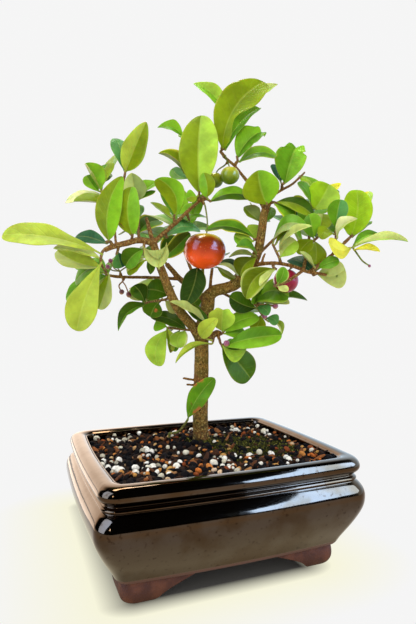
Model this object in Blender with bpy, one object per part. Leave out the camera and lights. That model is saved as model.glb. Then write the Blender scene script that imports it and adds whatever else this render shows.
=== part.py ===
# Barbados cherry bonsai in a glazed rectangular pot on four cloud feet.
# Metres, +Z up. Lengths below are in millimetres and are turned into metres by MM.
# The plant's places are written as they are seen from the front left of the pot:
# (across, up, toward) gives where a point appears on the upright plane through the
# pot's middle, and how far it lies in front of that plane.

import math

import bmesh
import bpy
from mathutils import Vector
from mathutils.bvhtree import BVHTree

MM = 0.001
GAP = 0.3
UP = Vector((0, 0, 1))

# The viewing direction that the plant's places are given for
VIEW_ANGLE = math.radians(-21.63)
VIEW_DISTANCE = 330
VIEW_ACROSS = 3.35
VIEW_UP = 152.35
VIEW_RIGHT = Vector((math.cos(VIEW_ANGLE), math.sin(VIEW_ANGLE), 0))
VIEW_BACK = Vector((math.sin(VIEW_ANGLE), -math.cos(VIEW_ANGLE), 0))

# Pot
POT_HALF_LENGTH = 77.5
POT_HALF_WIDTH = 67.1
POT_CORNER = 9.0
POT_CORNER_SHRINK = 0.3
POT_CORNER_LEAST = 4.0
POT_BOW = 2.5
POT_SHORT_SIDE_BOW = 0.8
POT_BASE = 13.0
POT_FLOOR = 20.0
CORNER_STEPS = 3
SIDE_STEPS = 3
# Inset from the rim's widest line and height, from the underside up the outside,
# over the rim and down the inside
POT_PROFILE = (
    (15.0, 13.0), (11.4, 13.6), (8.2, 19.0), (2.4, 29.0), (-1.4, 37.5), (-2.3, 43.9),
    (-0.9, 49.5), (2.2, 53.4), (3.5, 54.9), (2.5, 55.9), (1.2, 58.4), (0.3, 60.6),
    (0.0, 62.5), (0.9, 64.8), (3.2, 66.3), (7.4, 66.3), (9.9, 65.0), (10.6, 62.6),
    (11.5, 42.0), (14.0, 24.0), (19.0, POT_FLOOR),
)
DRAIN_RADIUS = 6.0
DRAIN_SPREAD = 30.0

# Feet: leg length and inset of the L-shaped foot at each height
FOOT_LEVELS = ((0.0, 15.5, 14.6), (2.0, 17.5, 13.2), (4.7, 20.0, 12.0), (7.1, 26.5, 11.8),
               (10.6, 36.0, 12.2), (14.2, 45.0, 13.4))
FOOT_THICKNESS = 9.0
FOOT_CORNER = 6.0
FOOT_CORNER_STEPS = 3

# Soil
SOIL_LEVEL = 60.6
SOIL_SIDES = ((19.8, POT_FLOOR + GAP), (14.6, 24.3), (12.2, 42.0))
SOIL_TOP_INSET = 11.15
SOIL_FRONT_HEAP = 3.2
SOIL_HEAP_MIDDLE = -20.0
SOIL_HEAP_RUN = 22.0
SOIL_MOUND = 4.6
SOIL_MOUND_RADIUS = 30.0
SOIL_RELIEF = 0.8
SOIL_RINGS = (1.0, 0.93, 0.82, 0.69, 0.55, 0.41, 0.27, 0.13)
SOIL_EDGE = 0.8
HOLE_TOP = 80.0

# Trunk and shoot where they enter the soil
TRUNK_FOOT = (-1.0, 69.0, -14.0)
TRUNK_ROOT_RADIUS = 5.3
TRUNK_ROOT_BOTTOM = 44.0
TRUNK_ROOT_TOP = 68.5
SHOOT_FOOT = (-22.0, 71.0, -17.0)
SHOOT_RADIUS = 1.0
SHOOT_BOTTOM = 52.0
SHOOT_ROOT_TOP = 67.0
SHOOT_SUNK = 4.0
SHOOT_END_RADIUS = 0.8
ROOT_SIDES = 12

# Twigs, stubs and stalks. A branch over THICK_BRANCH gets more sides, and one over
# SLIM_BRANCH a smoother path.
THICK_BRANCH = 3.0
SLIM_BRANCH = 1.8
TWIG_RADIUS = 0.95
SPRAY_TAPER = 0.8
STUB_RADII = (1.0, 0.95)
STALK_ROOT_RADIUS = 0.8
STALK_RADIUS = 0.6
SQUARE_STRETCH = 0.6
SHORTEST_TWIG = 3.2

# Leaves. A stalk is rooted ROOT_CLEAR from the wood and ROOT_IN from its twig's end.
BLADE = 0.7
PETIOLE_HALF = 0.65
SHORT_STALK = 1.2
LONG_STALK = 4.0
SIDEWAYS_STALK = 0.2
ROOT_BACK = 0.8
ROOT_IN = 0.6
ROOT_CLEAR = 1.5
ROOT_STEP = 0.5
WIDE_LEAF = 14.5
STEEP_TURN = 45
WIDE_ROWS = (0.22, 0.52, 0.8, 1.0)
NARROW_ROWS = (0.28, 0.72, 1.0)
TIP_ROW = 0.97
NOTCH_ROW = 0.7
CLEARANCE = 0.45
BENDS = (0, 3, -3, 6, -6, 9, -9, 12, -12, 16, -16, 20, -20, 25, -25, 30, -30)
# Fold of each half, arch over the length, how blunt the tip is, where it is widest,
# and how deep the notch in the tip is
LEAF_KINDS = {
    "round": (0, 0.05, 0.60, 1.30, 0.0),
    "oval": (0, 0.05, 0.72, 1.08, 0.0),
    "point": (18, 0.07, 0.95, 1.10, 0.0),
    "notch": (12, 0.04, 0.55, 1.35, 0.09),
    "folded": (36, 0.06, 0.80, 1.10, 0.0),
    "cup": (30, -0.12, 0.62, 1.45, 0.40),
}

# Woody parts: radii at the two ends, then places from root to end
TRUNK = (5.0, 4.2, ((-1.1, 66.5, -14.0), (-1.5, 80, -14), (-1.3, 94, -14), (-1.0, 110, -13),
                    (-0.8, 124, -12), (-0.7, 137, -11), (0.8, 147, -10.5), (3.1, 156, -10),
                    (3.6, 164.5, -9)))
BRANCHES = {
    "left": (3.4, 2.0, ((-1, 133, -11), (-5.5, 141.5, -9), (-10.5, 147, -6), (-17.3, 156, 0),
                        (-22.8, 168, 5), (-26.6, 178, 8), (-30.2, 188, 10), (-33, 199, 12))),
    "left_outer": (1.9, 1.2, ((-32.6, 197.5, 12), (-41.4, 199.5, 15), (-49.7, 197.7, 19),
                              (-60, 195, 23), (-65, 192.6, 25))),
    "left_stub": (1.7, 1.2, ((-33, 198, 12), (-35.2, 206, 11), (-37.3, 214.4, 10))),
    "left_inner": (1.7, 1.0, ((-32.2, 198, 12), (-29.5, 201, 11), (-17.3, 211.6, 8),
                              (-10.9, 218, 6), (-3, 225, 5), (2, 230.7, 3))),
    "left_upright": (0.95, 0.75, ((-57.3, 196, 22), (-58, 205, 17), (-58.5, 214, 13),
                                  (-57.5, 221, 11), (-54.5, 232, 9), (-52.3, 240, 8))),
    "rear": (2.0, 1.3, ((2.2, 160, -10), (-8, 168.5, -17), (-15, 174, -20), (-20, 179.5, -21),
                        (-24, 184, -22))),
    "bud_twig": (1.3, 1.0, ((-15, 174, -20), (-30, 175, -17), (-46, 175.2, -12),
                            (-56, 175.4, -8.7), (-61.5, 176.3, -6.5))),
    "right": (3.9, 2.0, ((3, 162.5, -9), (8, 166.4, -7), (16.3, 168.5, -4), (23.4, 172, 0),
                         (31, 181, 4), (36.3, 193, 6), (38.7, 206, 6), (40.2, 217, 6),
                         (43.5, 227, 7))),
    "right_top": (1.3, 0.8, ((43, 225.5, 7), (46, 229.3, 8), (52, 233, 9), (59, 237, 7),
                             (67, 244.6, 3))),
    "right_spur": (0.95, 0.7, ((43.3, 226, 7), (44.3, 235, 8), (44.8, 241.6, 8))),
    "crown": (1.3, 1.0, ((40.6, 219, 6), (34, 232, 3), (27, 241, 1), (20.6, 248.7, 0),
                         (14.5, 254, 0), (12, 257.5, 1))),
    "right_low": (1.5, 1.0, ((32, 182.5, 4.5), (38, 184, 9), (48.7, 184.5, 14), (60, 182.3, 18),
                             (68.7, 178.8, 21), (75.5, 177.9, 22.5), (81.5, 176.6, 24))),
    "right_low_spur": (0.95, 0.8, ((38.5, 184.2, 9.4), (39.8, 188.5, 10), (41, 191, 10))),
    "fruit_twig": (1.2, 0.95, ((66, 179.9, 20.2), (58, 174, 26), (54, 172, 28.5), (50, 170, 31))),
    "right_outer": (1.3, 1.0, ((70, 178.6, 21.3), (79, 185.5, 20), (85.5, 190.5, 19),
                               (93, 198, 17), (95.8, 200.7, 16))),
    "right_rear": (1.2, 0.95, ((66, 180.3, 19.9), (68, 190, 15), (70, 203, 10), (71, 214, 8),
                               (71.5, 219, 8))),
    "low_fan": (1.2, 0.95, ((10, 166.7, -7), (18, 162.5, -14), (27, 160, -12), (32, 158.3, -6))),
    "low_right": (2.0, 1.5, ((-1, 138, -11), (5, 136.5, -4), (9, 138.5, 2), (11.5, 138, 4))),
    "behind_cherry": (1.3, 1.0, ((4.3, 164, -9), (5.2, 174, -8), (6, 181, -7))),
    "back_left": (1.7, 1.0, ((1.5, 158, -11), (-4, 171, -30), (-10, 186, -44), (-15, 200, -54))),
    "back_right": (1.7, 1.0, ((16.3, 168.5, -5), (25, 180, -22), (40, 194, -38), (52, 206, -47))),
    "dead_left_high": (1.0, 0.9, ((-1, 107.2, -13), (-8, 108, -11), (-13, 109, -9))),
    "dead_left_low": (1.0, 0.85, ((-1, 104, -13), (-10.8, 104.7, -10))),
    "dead_right": (1.0, 0.9, ((-1, 106.5, -13), (8.4, 108, -12))),
}

# Leafy sprays. Each has a stub that stays on the wood (a place inside the branch and
# the stub's end), the twigs that go on from it, and its leaves: the blade's base, its
# tip, its width, the turn of its upper face about its length (0 faces the view, 90 is
# edge on with the upper face up), its sideways bow and its kind.
SPRAYS = {
    "leaves_left_tip": (((-60, 195, 23), (-65, 192.6, 25)),
        (((-67, 189, 26), (-67, 184, 25), (-63.5, 178, 19)),),
        (((-66, 190, 27), (-132, 202.8, 36), 21, 40, 2.2, "round"),
         ((-67, 187, 24), (-98.5, 193.8, 26), 12, 55, -0.5, "point"),
         ((-67, 181.5, 22), (-96, 192.3, 18), 16, 35, -4, "point"),
         ((-66.8, 184.5, 28), (-83, 139.5, 38), 22, 12, 1, "round"),
         ((-66.5, 178, 18), (-90, 160.3, 12), 13, 40, 1, "round"),
         ((-61.8, 176.8, 18), (-68.5, 154, 15), 15, 30, -1.5, "round"),
         ((-66.5, 184, 21), (-84, 172, 0), 20, 50, 1, "round"))),
    "leaves_left_upper_tip": (((-59, 195.3, 22.6), (-60.8, 198, 26)),
        (((-62, 198.5, 27.5),),),
        (((-63.2, 197, 25), (-83.5, 202, 12), 12, 30, 0.5, "round"),
         ((-62.4, 199.5, 28.5), (-53.5, 241.5, 30), 15.5, -25, 5, "round"))),
    "leaves_upper_left": (((-54.5, 232, 9), (-52.3, 240, 8)),
        (((-51.5, 243.6, 8),),),
        (((-51, 245, 9), (-38.3, 276.7, 14), 16.5, -35, 3.5, "round"),
         ((-52, 245.3, 6), (-57.5, 266.5, -3), 13, 30, 0.5, "round"),
         ((-51.3, 245.5, 6), (-43.5, 268, -22), 19, 35, 0, "round"),
         ((-51, 244.5, 6.5), (-49, 258, 26), 15, 40, 0, "round"))),
    "leaves_left_mid": (((-58.5, 214, 13), (-60.7, 218, 9.5)),
        (((-64, 227, 7), (-67, 231.3, 6), (-66.5, 237, 0)),),
        (((-67.3, 232.7, 7.5), (-78, 250, 12), 12, 60, -1.5, "folded"),
         ((-67, 234, 4.5), (-62.5, 249.8, -6), 17, 25, 1, "round"),
         ((-66, 240, -2), (-58.5, 255.6, -14), 15, 38, -3, "round"),
         ((-68.8, 231.5, 5), (-77, 242, 2), 11, 35, -1, "round"),
         ((-62.3, 223.5, 5), (-85.3, 225, 8), 13, 58, -1, "point"),
         ((-64.5, 227, 4), (-90, 225.4, 0), 9, 35, 1.2, "round"),
         ((-66.5, 237, -1), (-70, 246, -28), 18, 45, 0, "round"),
         ((-62.5, 225, 5), (-60, 212, -18), 17, 40, 0, "round"))),
    "leaves_left_upright": (((-47, 198.2, 17.7), (-46.8, 200.8, 20.7)),
        (((-46.6, 202.2, 22.3),),),
        (((-46.5, 203, 23.5), (-47, 234.6, 28), 15.5, -22, -2.2, "round"),
         ((-48.5, 204, 21.5), (-58.3, 214.5, 22), 6, 40, 0, "point"))),
    "leaves_left_inner": (((-42, 199.3, 15.2), (-42.4, 203, 11.5)),
        (((-42.5, 212, 8), (-43.5, 222, 6), (-43.8, 227, 5)),),
        (((-45, 224, 5.5), (-47.2, 243.8, 0), 17, 20, 0, "point"),
         ((-42.8, 229, 4.5), (-30.5, 238, -4), 13, 35, -1, "point"),
         ((-43, 226.5, 5.5), (-31.5, 232, 3), 7, 40, -1.5, "point"),
         ((-42.3, 204.5, 9.8), (-29, 212.5, 2), 16, 25, 1.5, "round"),
         ((-43, 214, 7), (-52, 226, -16), 20, 50, 0, "round"),
         ((-42.8, 210, 8), (-50, 206, -18), 19, 45, 0, "round"))),
    "leaves_left_hang": (((-38.5, 199, 14), (-38.8, 196.2, 17)),
        (((-38.3, 190, 17.5), (-37, 187, 17.5)),),
        (((-39, 193.6, 17.6), (-51, 182, 17), 14, 12, 1.5, "round"),
         ((-37.8, 186.3, 18), (-50, 178, 20), 12, 35, 0.5, "round"),
         ((-36.6, 186.3, 16.5), (-34.6, 177, 16), 7, 40, 0, "point"),
         ((-38.6, 190.5, 16.5), (-47, 186, -4), 18, 50, 0, "round"))),
    "leaves_left_drop": (((-55.6, 196.2, 21.3), (-56, 193.4, 18.8)),
        (((-56.2, 192.4, 18),),),
        (((-56.2, 191.6, 17.5), (-53.4, 181.5, 16), 11, 25, -0.5, "round"),)),
    "leaves_mid_olive": (((-18.8, 210.3, 8.4), (-19, 213, 11.5)),
        (((-19, 214.2, 12.7),),),
        (((-18.2, 214.6, 13.8), (-30, 240.3, 20), 17, -30, 6.5, "round"),
         ((-20.5, 214, 12), (-34.6, 224.4, 7), 12, 60, -1.5, "point"))),
    "leaves_mid_blue": (((-25, 205, 9.8), (-24.4, 202.4, 6.2)),
        (((-24, 201.7, 4.3),),),
        (((-24.5, 202, 3.3), (-2, 205.8, 0), 21, 56, 3.5, "oval"),
         ((-25.5, 201, 3), (-38, 206, -14), 18, 50, 0, "round"))),
    "leaves_mid_green": (((-10.9, 218, 6), (-10.1, 215.2, 2.6)),
        (((-9.6, 214, 1),),),
        (((-9, 213.5, 0.3), (2.6, 214.5, -6), 9, 60, 1, "oval"),
         ((-10, 212.5, 0), (-20, 216, -20), 17, 55, 0, "round"))),
    "leaves_centre_top": (((-3, 225, 5), (-2.8, 228.2, 8.2)),
        (((-2.7, 229.5, 9.4),),),
        (((-2.6, 230.8, 10.3), (-1.5, 281.8, 2), 27, -12, -0.5, "oval"),
         ((-4.2, 228, 9.6), (-11, 227, 11), 10, 20, 0.5, "oval"))),
    "leaves_centre_back": (((0, 228.2, 3.8), (2, 230.7, 3)),
        (((1.5, 233.5, -1.5), (-7, 240, -8), (-12, 252, -12), (-12.3, 265, -14)),),
        (((2, 230.3, 0.5), (-6.5, 214.3, -1), 10, 25, 1, "oval"),
         ((-12, 243.5, -9), (-29.5, 256.9, -6), 14, 50, 1, "folded"),
         ((-8.5, 240.5, -9), (-20, 247, -16), 11, 30, -3, "round"),
         ((-12.8, 267, -14.5), (-30.2, 273.9, -16), 10, 25, 2.6, "point"),
         ((-12, 266.5, -15), (-4, 275, -36), 21, 50, 0, "round"),
         ((-11.5, 252, -13), (-1, 258, -38), 22, 50, 0, "round"),
         ((-7, 240.5, -8.5), (2, 247, -30), 18, 50, 0, "round"))),
    "leaves_centre_right": (((-0.6, 227.7, 4.5), (2.6, 226.5, 7.6)),
        (((3.6, 226, 8.7),),),
        (((4.6, 225, 9.2), (34, 226.3, 4), 17, 45, 3.4, "oval"),
         ((2.4, 228, 10.3), (0.2, 243.9, 12.5), 8, 25, 0.8, "oval"))),
    "leaves_crown": (((14.5, 254, 0), (12, 257.5, 1)),
        (((12.3, 259, 1.5),), ((12.1, 260, 1.6), (14, 268, -4), (17, 279, -7), (22, 284, -9))),
        (((12.6, 260.5, 3), (39.5, 304.2, 8), 21, 15, 5.8, "round"),
         ((15.5, 281.5, -7.5), (-6.5, 303, -10), 13, 22, 2, "point"),
         ((23.5, 285, -9), (48.9, 302.6, -12), 14, 40, -1.5, "point"),
         ((14.5, 259, 0.5), (37.2, 286.8, -3), 15, 35, 2, "point"),
         ((17, 280, -9), (25, 296, -32), 21, 40, 0, "round"),
         ((14, 269, -5), (16, 280, -30), 19, 50, 0, "round"))),
    "leaves_crown_right": (((20.6, 248.7, 0), (22.2, 251.3, 2.6)),
        (((22.5, 252.8, 3.6),),),
        (((22.6, 254, 4.5), (41.2, 273.2, 9), 19, 38, 2, "notch"),
         ((23.8, 251.3, 3.2), (52, 252.2, -5), 14, 38, 4.6, "oval"))),
    "leaves_right_bitten": (((52, 233, 9), (51.9, 235.2, 12.3)),
        (((52.3, 236.4, 14.6),),),
        (((54, 237.2, 15.2), (62.6, 264.8, 19), 21.5, 20, 0.5, "notch"),
         ((51.2, 237.8, 12.4), (47.5, 249.5, -3), 9, 20, -1, "round"),
         ((53.2, 238, 12.6), (60, 255, -8), 15, 40, 0, "round"))),
    "leaves_right_two_tone": (((41.5, 219.5, 6.3), (41.8, 221.3, 10)),
        (((41.9, 222.3, 11.2),),),
        (((42, 223.2, 12.2), (36, 245.6, 16), 23.5, -15, -1, "oval"),)),
    "leaves_right_mid": (((43, 224.3, 6.8), (46, 224.6, 9.8)),
        (((48, 224.3, 10.8),),),
        (((48.8, 225, 11.6), (72.6, 215.6, 15), 17, 42, 2, "oval"),
         ((47, 223.3, 11.3), (59, 213.4, 14), 13, 30, 1.5, "round"),
         ((48.8, 223.2, 9.8), (62, 213.8, 6), 12, 35, 0.5, "round"))),
    "leaves_right_back": (((39, 208, 6), (38.5, 209.8, 1.8)),
        (((38.2, 211, 0),),),
        (((37.5, 212, -0.6), (27, 221.7, -3), 14, 35, -1.5, "point"),
         ((37.2, 209.5, -0.5), (31, 203, -4), 13, 25, -1, "round"),
         ((39.6, 211.5, -0.6), (45.5, 221.3, -6), 10, 20, 0, "oval"),
         ((38.5, 211.5, -1.5), (34, 219, -26), 19, 50, 0, "round"))),
    "leaves_right_inner": (((37.5, 199.3, 6.2), (34.6, 200, 8.7)),
        (((33.9, 200.2, 9.7),),),
        (((33.5, 201.2, 10.3), (1.4, 206, 11), 18, 52, 3.4, "oval"),
         ((33.2, 198.8, 10.8), (20.3, 202, 15), 12, 30, -1, "round"))),
    "leaves_right_inner_low": (((34.3, 188, 5.2), (35.3, 188.5, 9.5)),
        (((35.6, 188.8, 10.7),),),
        (((35.5, 190.4, 12), (21.8, 195.3, 17), 12, 50, 1, "point"),
         ((34.8, 188, 12), (24.5, 175.8, 11), 17, 38, 2, "round"),
         ((33.8, 189.4, 10.6), (17, 188.4, 5), 9, 60, 0.5, "point"))),
    "leaves_under_cherry": (((5.2, 174, -8), (6, 181, -7)),
        (((4.8, 184, -4.5), (-2, 183.3, 2.5)),),
        (((-3.7, 181.3, 4), (-11.8, 156.2, 9), 15, 25, -2, "round"),
         ((0.5, 181, 1.5), (-1.5, 166.5, -1), 9, 30, 2, "oval"),
         ((6.8, 182.8, -4.8), (24, 174.8, -4), 16, 60, 5, "round"),
         ((9.5, 182, -8.5), (22, 173.6, -10), 8, 50, -1.5, "oval"),
         ((5.5, 184.3, -5.5), (12, 190, -26), 18, 50, 0, "round"))),
    "leaves_left_cup": (((-27.5, 180, 8.2), (-28.7, 180.2, 12.2)),
        (((-29, 180.5, 20),),),
        (((-29, 181.5, 21.4), (-31.5, 198.6, 25), 17, 0, 0, "cup"),)),
    "leaves_rear": (((-20, 179.5, -21), (-24, 184, -22)),
        (((-27, 188, -24), (-33, 195, -32)),),
        (((-25.5, 188, -21), (-8.5, 204.2, -14), 15, 35, -1, "oval"),
         ((-27, 190, -23), (-17.5, 202.5, -28), 12, 20, 0, "oval"),
         ((-32, 195.5, -31), (-44, 208, -48), 20, 50, 0, "round"),
         ((-28, 190.5, -27), (-42, 190, -38), 19, 50, 0, "round"),
         ((-32, 196, -33), (-22, 206, -54), 20, 50, 0, "round"))),
    "leaves_bud_twig": (((-56, 175.4, -8.7), (-61.5, 176.3, -6.5)),
        (((-63, 176.8, -6),),),
        (((-64, 177.5, -6.8), (-80, 184, -26), 19, 45, 0, "round"),
         ((-63.5, 176, -7.5), (-76, 163.5, -24), 19, 45, 0, "round"),
         ((-62.3, 177.3, -8), (-60, 187, -28), 17, 50, 0, "round"))),
    "leaves_left_low": (((-21, 164, 3.2), (-22.5, 162, -1.8)),
        (((-25, 160.5, -4), (-34, 159, -5), (-38, 158, -5)),),
        (((-22.5, 163.5, -4.6), (-37.5, 167, -11), 16, 15, 1, "round"),
         ((-27, 162.5, -6.5), (-46.5, 169, -18), 15, 45, 2.5, "round"),
         ((-37, 160, -6.5), (-48, 167, -13), 9, 20, -1, "round"),
         ((-38.6, 159, -4), (-45.5, 169.8, -5), 12, 20, 1, "round"),
         ((-29.5, 158.6, -3), (-34.5, 149, 2), 13.5, 10, 0.5, "round"),
         ((-33, 157, -6), (-55.6, 139.8, -4), 12, 45, 4.2, "point"),
         ((-24.5, 159.5, -5.5), (-16.5, 152.3, -9), 9, 10, 0.5, "oval"),
         ((-27.5, 159.5, -6.5), (-40, 157.5, -19), 15, 10, 0, "round"),
         ((-30, 160, -6.5), (-24, 168, -27), 18, 45, 0, "round"))),
    "leaves_low_left": (((-6, 141.5, -9), (-9, 140.7, -14)),
        (((-14, 141, -16.5), (-23, 142, -18)),),
        (((-11, 141, -16.5), (-34.2, 149.9, -19), 15, 55, 1.5, "oval"),
         ((-23.2, 140.6, -18.7), (-29.5, 116.8, -12), 14.5, 12, 4, "round"),
         ((-23.7, 141.3, -17), (-21.3, 125.5, -15), 6, 50, 0, "point"),
         ((-15.5, 140, -17.3), (-19, 126.5, -19), 10, 30, 0.5, "oval"),
         ((-12, 140, -15.8), (-15, 128.8, -10), 12, 35, 2.5, "oval"),
         ((-24, 142.7, -18.5), (-31.8, 144.5, -22), 10, 20, 0, "round"),
         ((-18, 141.8, -18), (-24, 140, -40), 18, 50, 0, "round"))),
    "leaves_crotch": (((1, 146.8, -10.2), (3.6, 145.8, -4)),
        (((3.9, 145.5, -2.9),),),
        (((4.7, 145.2, -2.3), (-11.5, 156.4, -1), 12, 50, -1, "oval"),
         ((3, 144, -1.6), (-21.5, 158.9, 9), 10, 62, -0.5, "point"))),
    "leaves_crotch_back": (((1.5, 152, -10.2), (-3.3, 153, -15)),
        (((-4, 153.8, -16),),),
        (((-4.6, 154.8, -16.5), (-5.5, 167.5, -22), 11, 20, -1, "oval"),
         ((-4.6, 153.5, -17), (-9, 160, -40), 18, 50, 0, "round"))),
    "leaves_right_hang": (((46, 184.4, 12.9), (46.3, 182.3, 16)),
        (((46.8, 181.5, 17.3),),),
        (((46.3, 180.8, 18), (28.3, 161.3, 21), 17, 25, 4, "oval"),
         ((47.6, 180.6, 18.8), (37.5, 169.3, 25), 8, 60, -1, "point"))),
    "leaves_fruit_twig": (((54, 172, 28.5), (50, 170, 31)),
        (((48.8, 169.6, 31.8),),),
        (((49.3, 170.9, 32.5), (53.5, 181.8, 34), 9, 25, -1, "oval"),
         ((50, 169, 32.6), (55.8, 165.8, 35), 6, 25, 0, "oval"))),
    "leaves_low_fan": (((27, 160, -12), (32, 158.3, -6)),
        (((34, 157.5, -3.5), (35.5, 156.5, -2), (38, 152, -3), (41.5, 147.5, -4)),
         ((34, 157.5, -3.5), (40, 157.2, -1), (46.3, 156.6, 1))),
        (((34.5, 158.6, -1.5), (56.5, 162.6, 8), 24, 50, 5, "round"),
         ((36.5, 159, -3), (57, 158.2, 5), 11, 50, 1, "oval"),
         ((36.8, 159.8, -5), (68.6, 160.2, -8), 14, 58, 0.5, "point"),
         ((35.5, 155.5, -1.5), (43.5, 150.9, 3), 9, 25, 1.5, "round"),
         ((42, 148.5, -3), (49, 144.7, 1), 8, 20, 1.5, "round"),
         ((38, 150, -4), (33.8, 140.3, 0), 11, 25, -1, "round"),
         ((43, 146.5, -4), (51.4, 136.5, -3), 8, 50, 3, "point"),
         ((34.5, 155, -3.5), (17.5, 162.4, 2), 14, 15, -1.5, "round"),
         ((35, 158, -5), (36, 167, -24), 18, 50, 0, "round"),
         ((38.5, 152.5, -5), (30, 154, -26), 18, 50, 0, "round"))),
    "leaves_low_right_up": (((9, 138.5, 2), (11.5, 138, 4)),
        (((12.6, 138.3, 5.2),),),
        (((12.2, 140.2, 7), (13.4, 156.2, 12), 18, 10, 0, "notch"),
         ((13.8, 139.6, 4.8), (36.6, 149.4, -1), 15, 40, 1.5, "oval"),
         ((14.2, 138, 5.6), (28, 138.2, 0), 11, 35, 0, "round"))),
    "leaves_low_right_front": (((8, 138, 0.2), (7.6, 137, 4.8)),
        (((7.3, 136.2, 6.2), (6.6, 132.5, 8.2)),),
        (((6.4, 137.4, 8), (-6.4, 137.6, 13), 12, 25, 0.5, "round"),
         ((6, 131.4, 9), (-17.9, 118.6, 16), 9, 55, 2.5, "point"))),
    "leaves_low_right_down": (((9.3, 138.3, 2), (10.7, 134.8, 4.8)),
        (((11.5, 132, 8), (12.5, 130.5, 10)), ((12.5, 130.5, 10), (14.8, 131.4, 12.2))),
        (((13.9, 129.6, 10.8), (51.9, 137, 24), 16.5, 38, 0.6, "round"),
         ((13, 129.8, 12), (29.8, 130.8, 25), 13, 58, -8, "oval"),
         ((13, 128.5, 9.3), (31.4, 108.6, 5), 20, 25, 0.5, "round"),
         ((12.8, 129.4, 8.5), (22, 124, -14), 18, 50, 0, "round"))),
    "leaves_right_upper": (((71, 214, 8), (71.5, 219, 8)),
        (((71.7, 221.5, 8), (72.5, 225, 8)),),
        (((71.6, 226, 6.8), (65.5, 242.2, 0), 17, 28, 3, "round"),
         ((70.8, 224, 9.5), (62.3, 237.8, 13), 13, 45, 1, "round"),
         ((73.2, 220, 9.5), (83, 236.6, 14), 18, 22, -1, "round"),
         ((73.8, 224.8, 7), (89, 232.5, 1), 13, 30, 0, "point"),
         ((73.6, 226.4, 6.6), (90.8, 237.2, 8), 9, 40, -2, "point"),
         ((72, 222, 6.6), (78, 226, -20), 20, 50, 0, "round"),
         ((71, 222, 6.4), (68, 213, -18), 18, 50, 0, "round"))),
    "leaves_right_outer_mid": (((86, 191, 19), (86.7, 194, 22.4)),
        (((87.4, 200, 22.5), (87.3, 206.3, 21.5)),),
        (((87.6, 208, 22.3), (90.5, 226.5, 26), 13.5, 22, 0.5, "round"),
         ((88, 200.8, 24), (101.6, 213.8, 32), 12, 60, 2.5, "point"),
         ((86.3, 203.8, 22), (76.8, 201, 25), 12, 40, 3, "round"),
         ((87, 204, 20), (87.5, 213, 3), 12, 40, 0, "round"))),
    "leaves_right_outer": (((93, 198, 17), (95.8, 200.7, 16)),
        (((97.2, 202, 15.3),),),
        (((97.4, 202.4, 14.3), (101, 232.9, 15), 18.5, 22, -2.5, "round"),
         ((98.5, 203, 14), (109.4, 231.9, 2), 12, 35, 1.5, "round"),
         ((98.3, 201.6, 14), (104, 211, -10), 19, 50, 0, "round"))),
    "leaves_right_tip": (((91, 196, 17.5), (94, 194.9, 20.6)),
        (((98.5, 194.9, 22.5),),
         ((98.5, 194.9, 22.5), (102, 190, 23), (105, 186, 24), (109, 183.2, 25))),
        (((99.6, 195.8, 23.3), (134.9, 198.9, 31), 14, 60, 0.8, "point"),
         ((99, 196.5, 21), (118.4, 202.4, 17), 12, 50, 2.5, "round"),
         ((97, 193.8, 23.5), (82.7, 198.2, 30), 15, 30, -3.5, "round"),
         ((99.2, 193.4, 24), (116.5, 192.2, 34), 9, 50, 0, "point"))),
    "leaves_right_low": (((71.5, 178.5, 21.6), (73.3, 180.2, 24.6)),
        (((74.4, 181, 25.6),),),
        (((75.3, 181.4, 26.3), (89.6, 186.5, 33), 12, 48, 0, "round"),
         ((73.5, 182, 26), (63.6, 192.1, 29), 9, 60, -1, "point"))),
    "leaves_right_under": (((72, 178.3, 21.8), (72.7, 177, 17.8)),
        (((73.8, 177.2, 16.4),),),
        (((75, 177.5, 15.8), (93.4, 181, 11), 19, 15, -3.5, "round"),
         ((72.6, 178.5, 15.5), (56.8, 187, 8), 15, 42, 1, "round"),
         ((73.6, 178.5, 15.2), (79, 188, -6), 18, 50, 0, "round"))),
    "leaves_right_centre": (((69, 196.5, 12.6), (71.2, 198, 16.3)),
        (((73, 199.5, 17.3), (75.5, 201.5, 17.3)),),
        (((76.2, 203, 17.5), (78.7, 217, 21), 15, 20, 0, "round"),
         ((74, 198.5, 18.3), (74.2, 183.8, 22), 15, 25, 0, "oval"),
         ((71.6, 200, 19), (62.7, 190.5, 25), 12, 30, 0.5, "oval"),
         ((72.6, 201.3, 16.3), (69.6, 216.6, 12.5), 15, 20, 0, "round"),
         ((74.5, 201.5, 15.8), (81, 207, -4), 18, 50, 0, "round"))),
    "leaves_right_arc": (((51, 184.3, 14.9), (50.6, 186.6, 18.3)),
        (((50.2, 188, 19.5), (48, 192.5, 19.5), (45.8, 197, 18.5)),),
        (((51, 188.6, 20.8), (61.4, 199.4, 25), 15, 30, 1, "round"),
         ((47.6, 197, 19.5), (68, 207.8, 22), 12, 50, 2, "point"),
         ((46, 199, 17.7), (68.6, 208.4, 15), 17, 50, 6, "oval"),
         ((50.3, 193, 21), (71.5, 208.8, 29), 9, 62, 1.5, "point"))),
    "leaves_back_left": (((-10, 186, -44), (-15, 200, -54)),
        (((-17, 206, -58), (-18, 212, -61)),),
        (((-18.5, 214, -61.5), (-21, 236, -72), 21, 30, 0, "round"),
         ((-17, 207.5, -59.5), (-32, 216, -80), 18, 50, 0, "round"),
         ((-15, 205, -57), (6, 208, -68), 20, 60, 0, "round"),
         ((-18, 211, -62), (-24, 204, -90), 21, 60, 0, "round"),
         ((-16, 206.5, -57), (-4, 222, -48), 18, 40, 0, "round"))),
    "leaves_back_right": (((40, 194, -38), (52, 206, -47)),
        (((56, 210, -50), (60, 213, -53)),),
        (((61.5, 214, -53.5), (80, 222, -62), 21, 55, 0, "round"),
         ((57, 209.5, -51), (66, 196, -62), 20, 60, 0, "round"),
         ((55, 210.5, -50), (44, 216, -66), 20, 55, 0, "round"),
         ((60, 212, -54), (62, 206, -82), 21, 60, 0, "round"),
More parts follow.
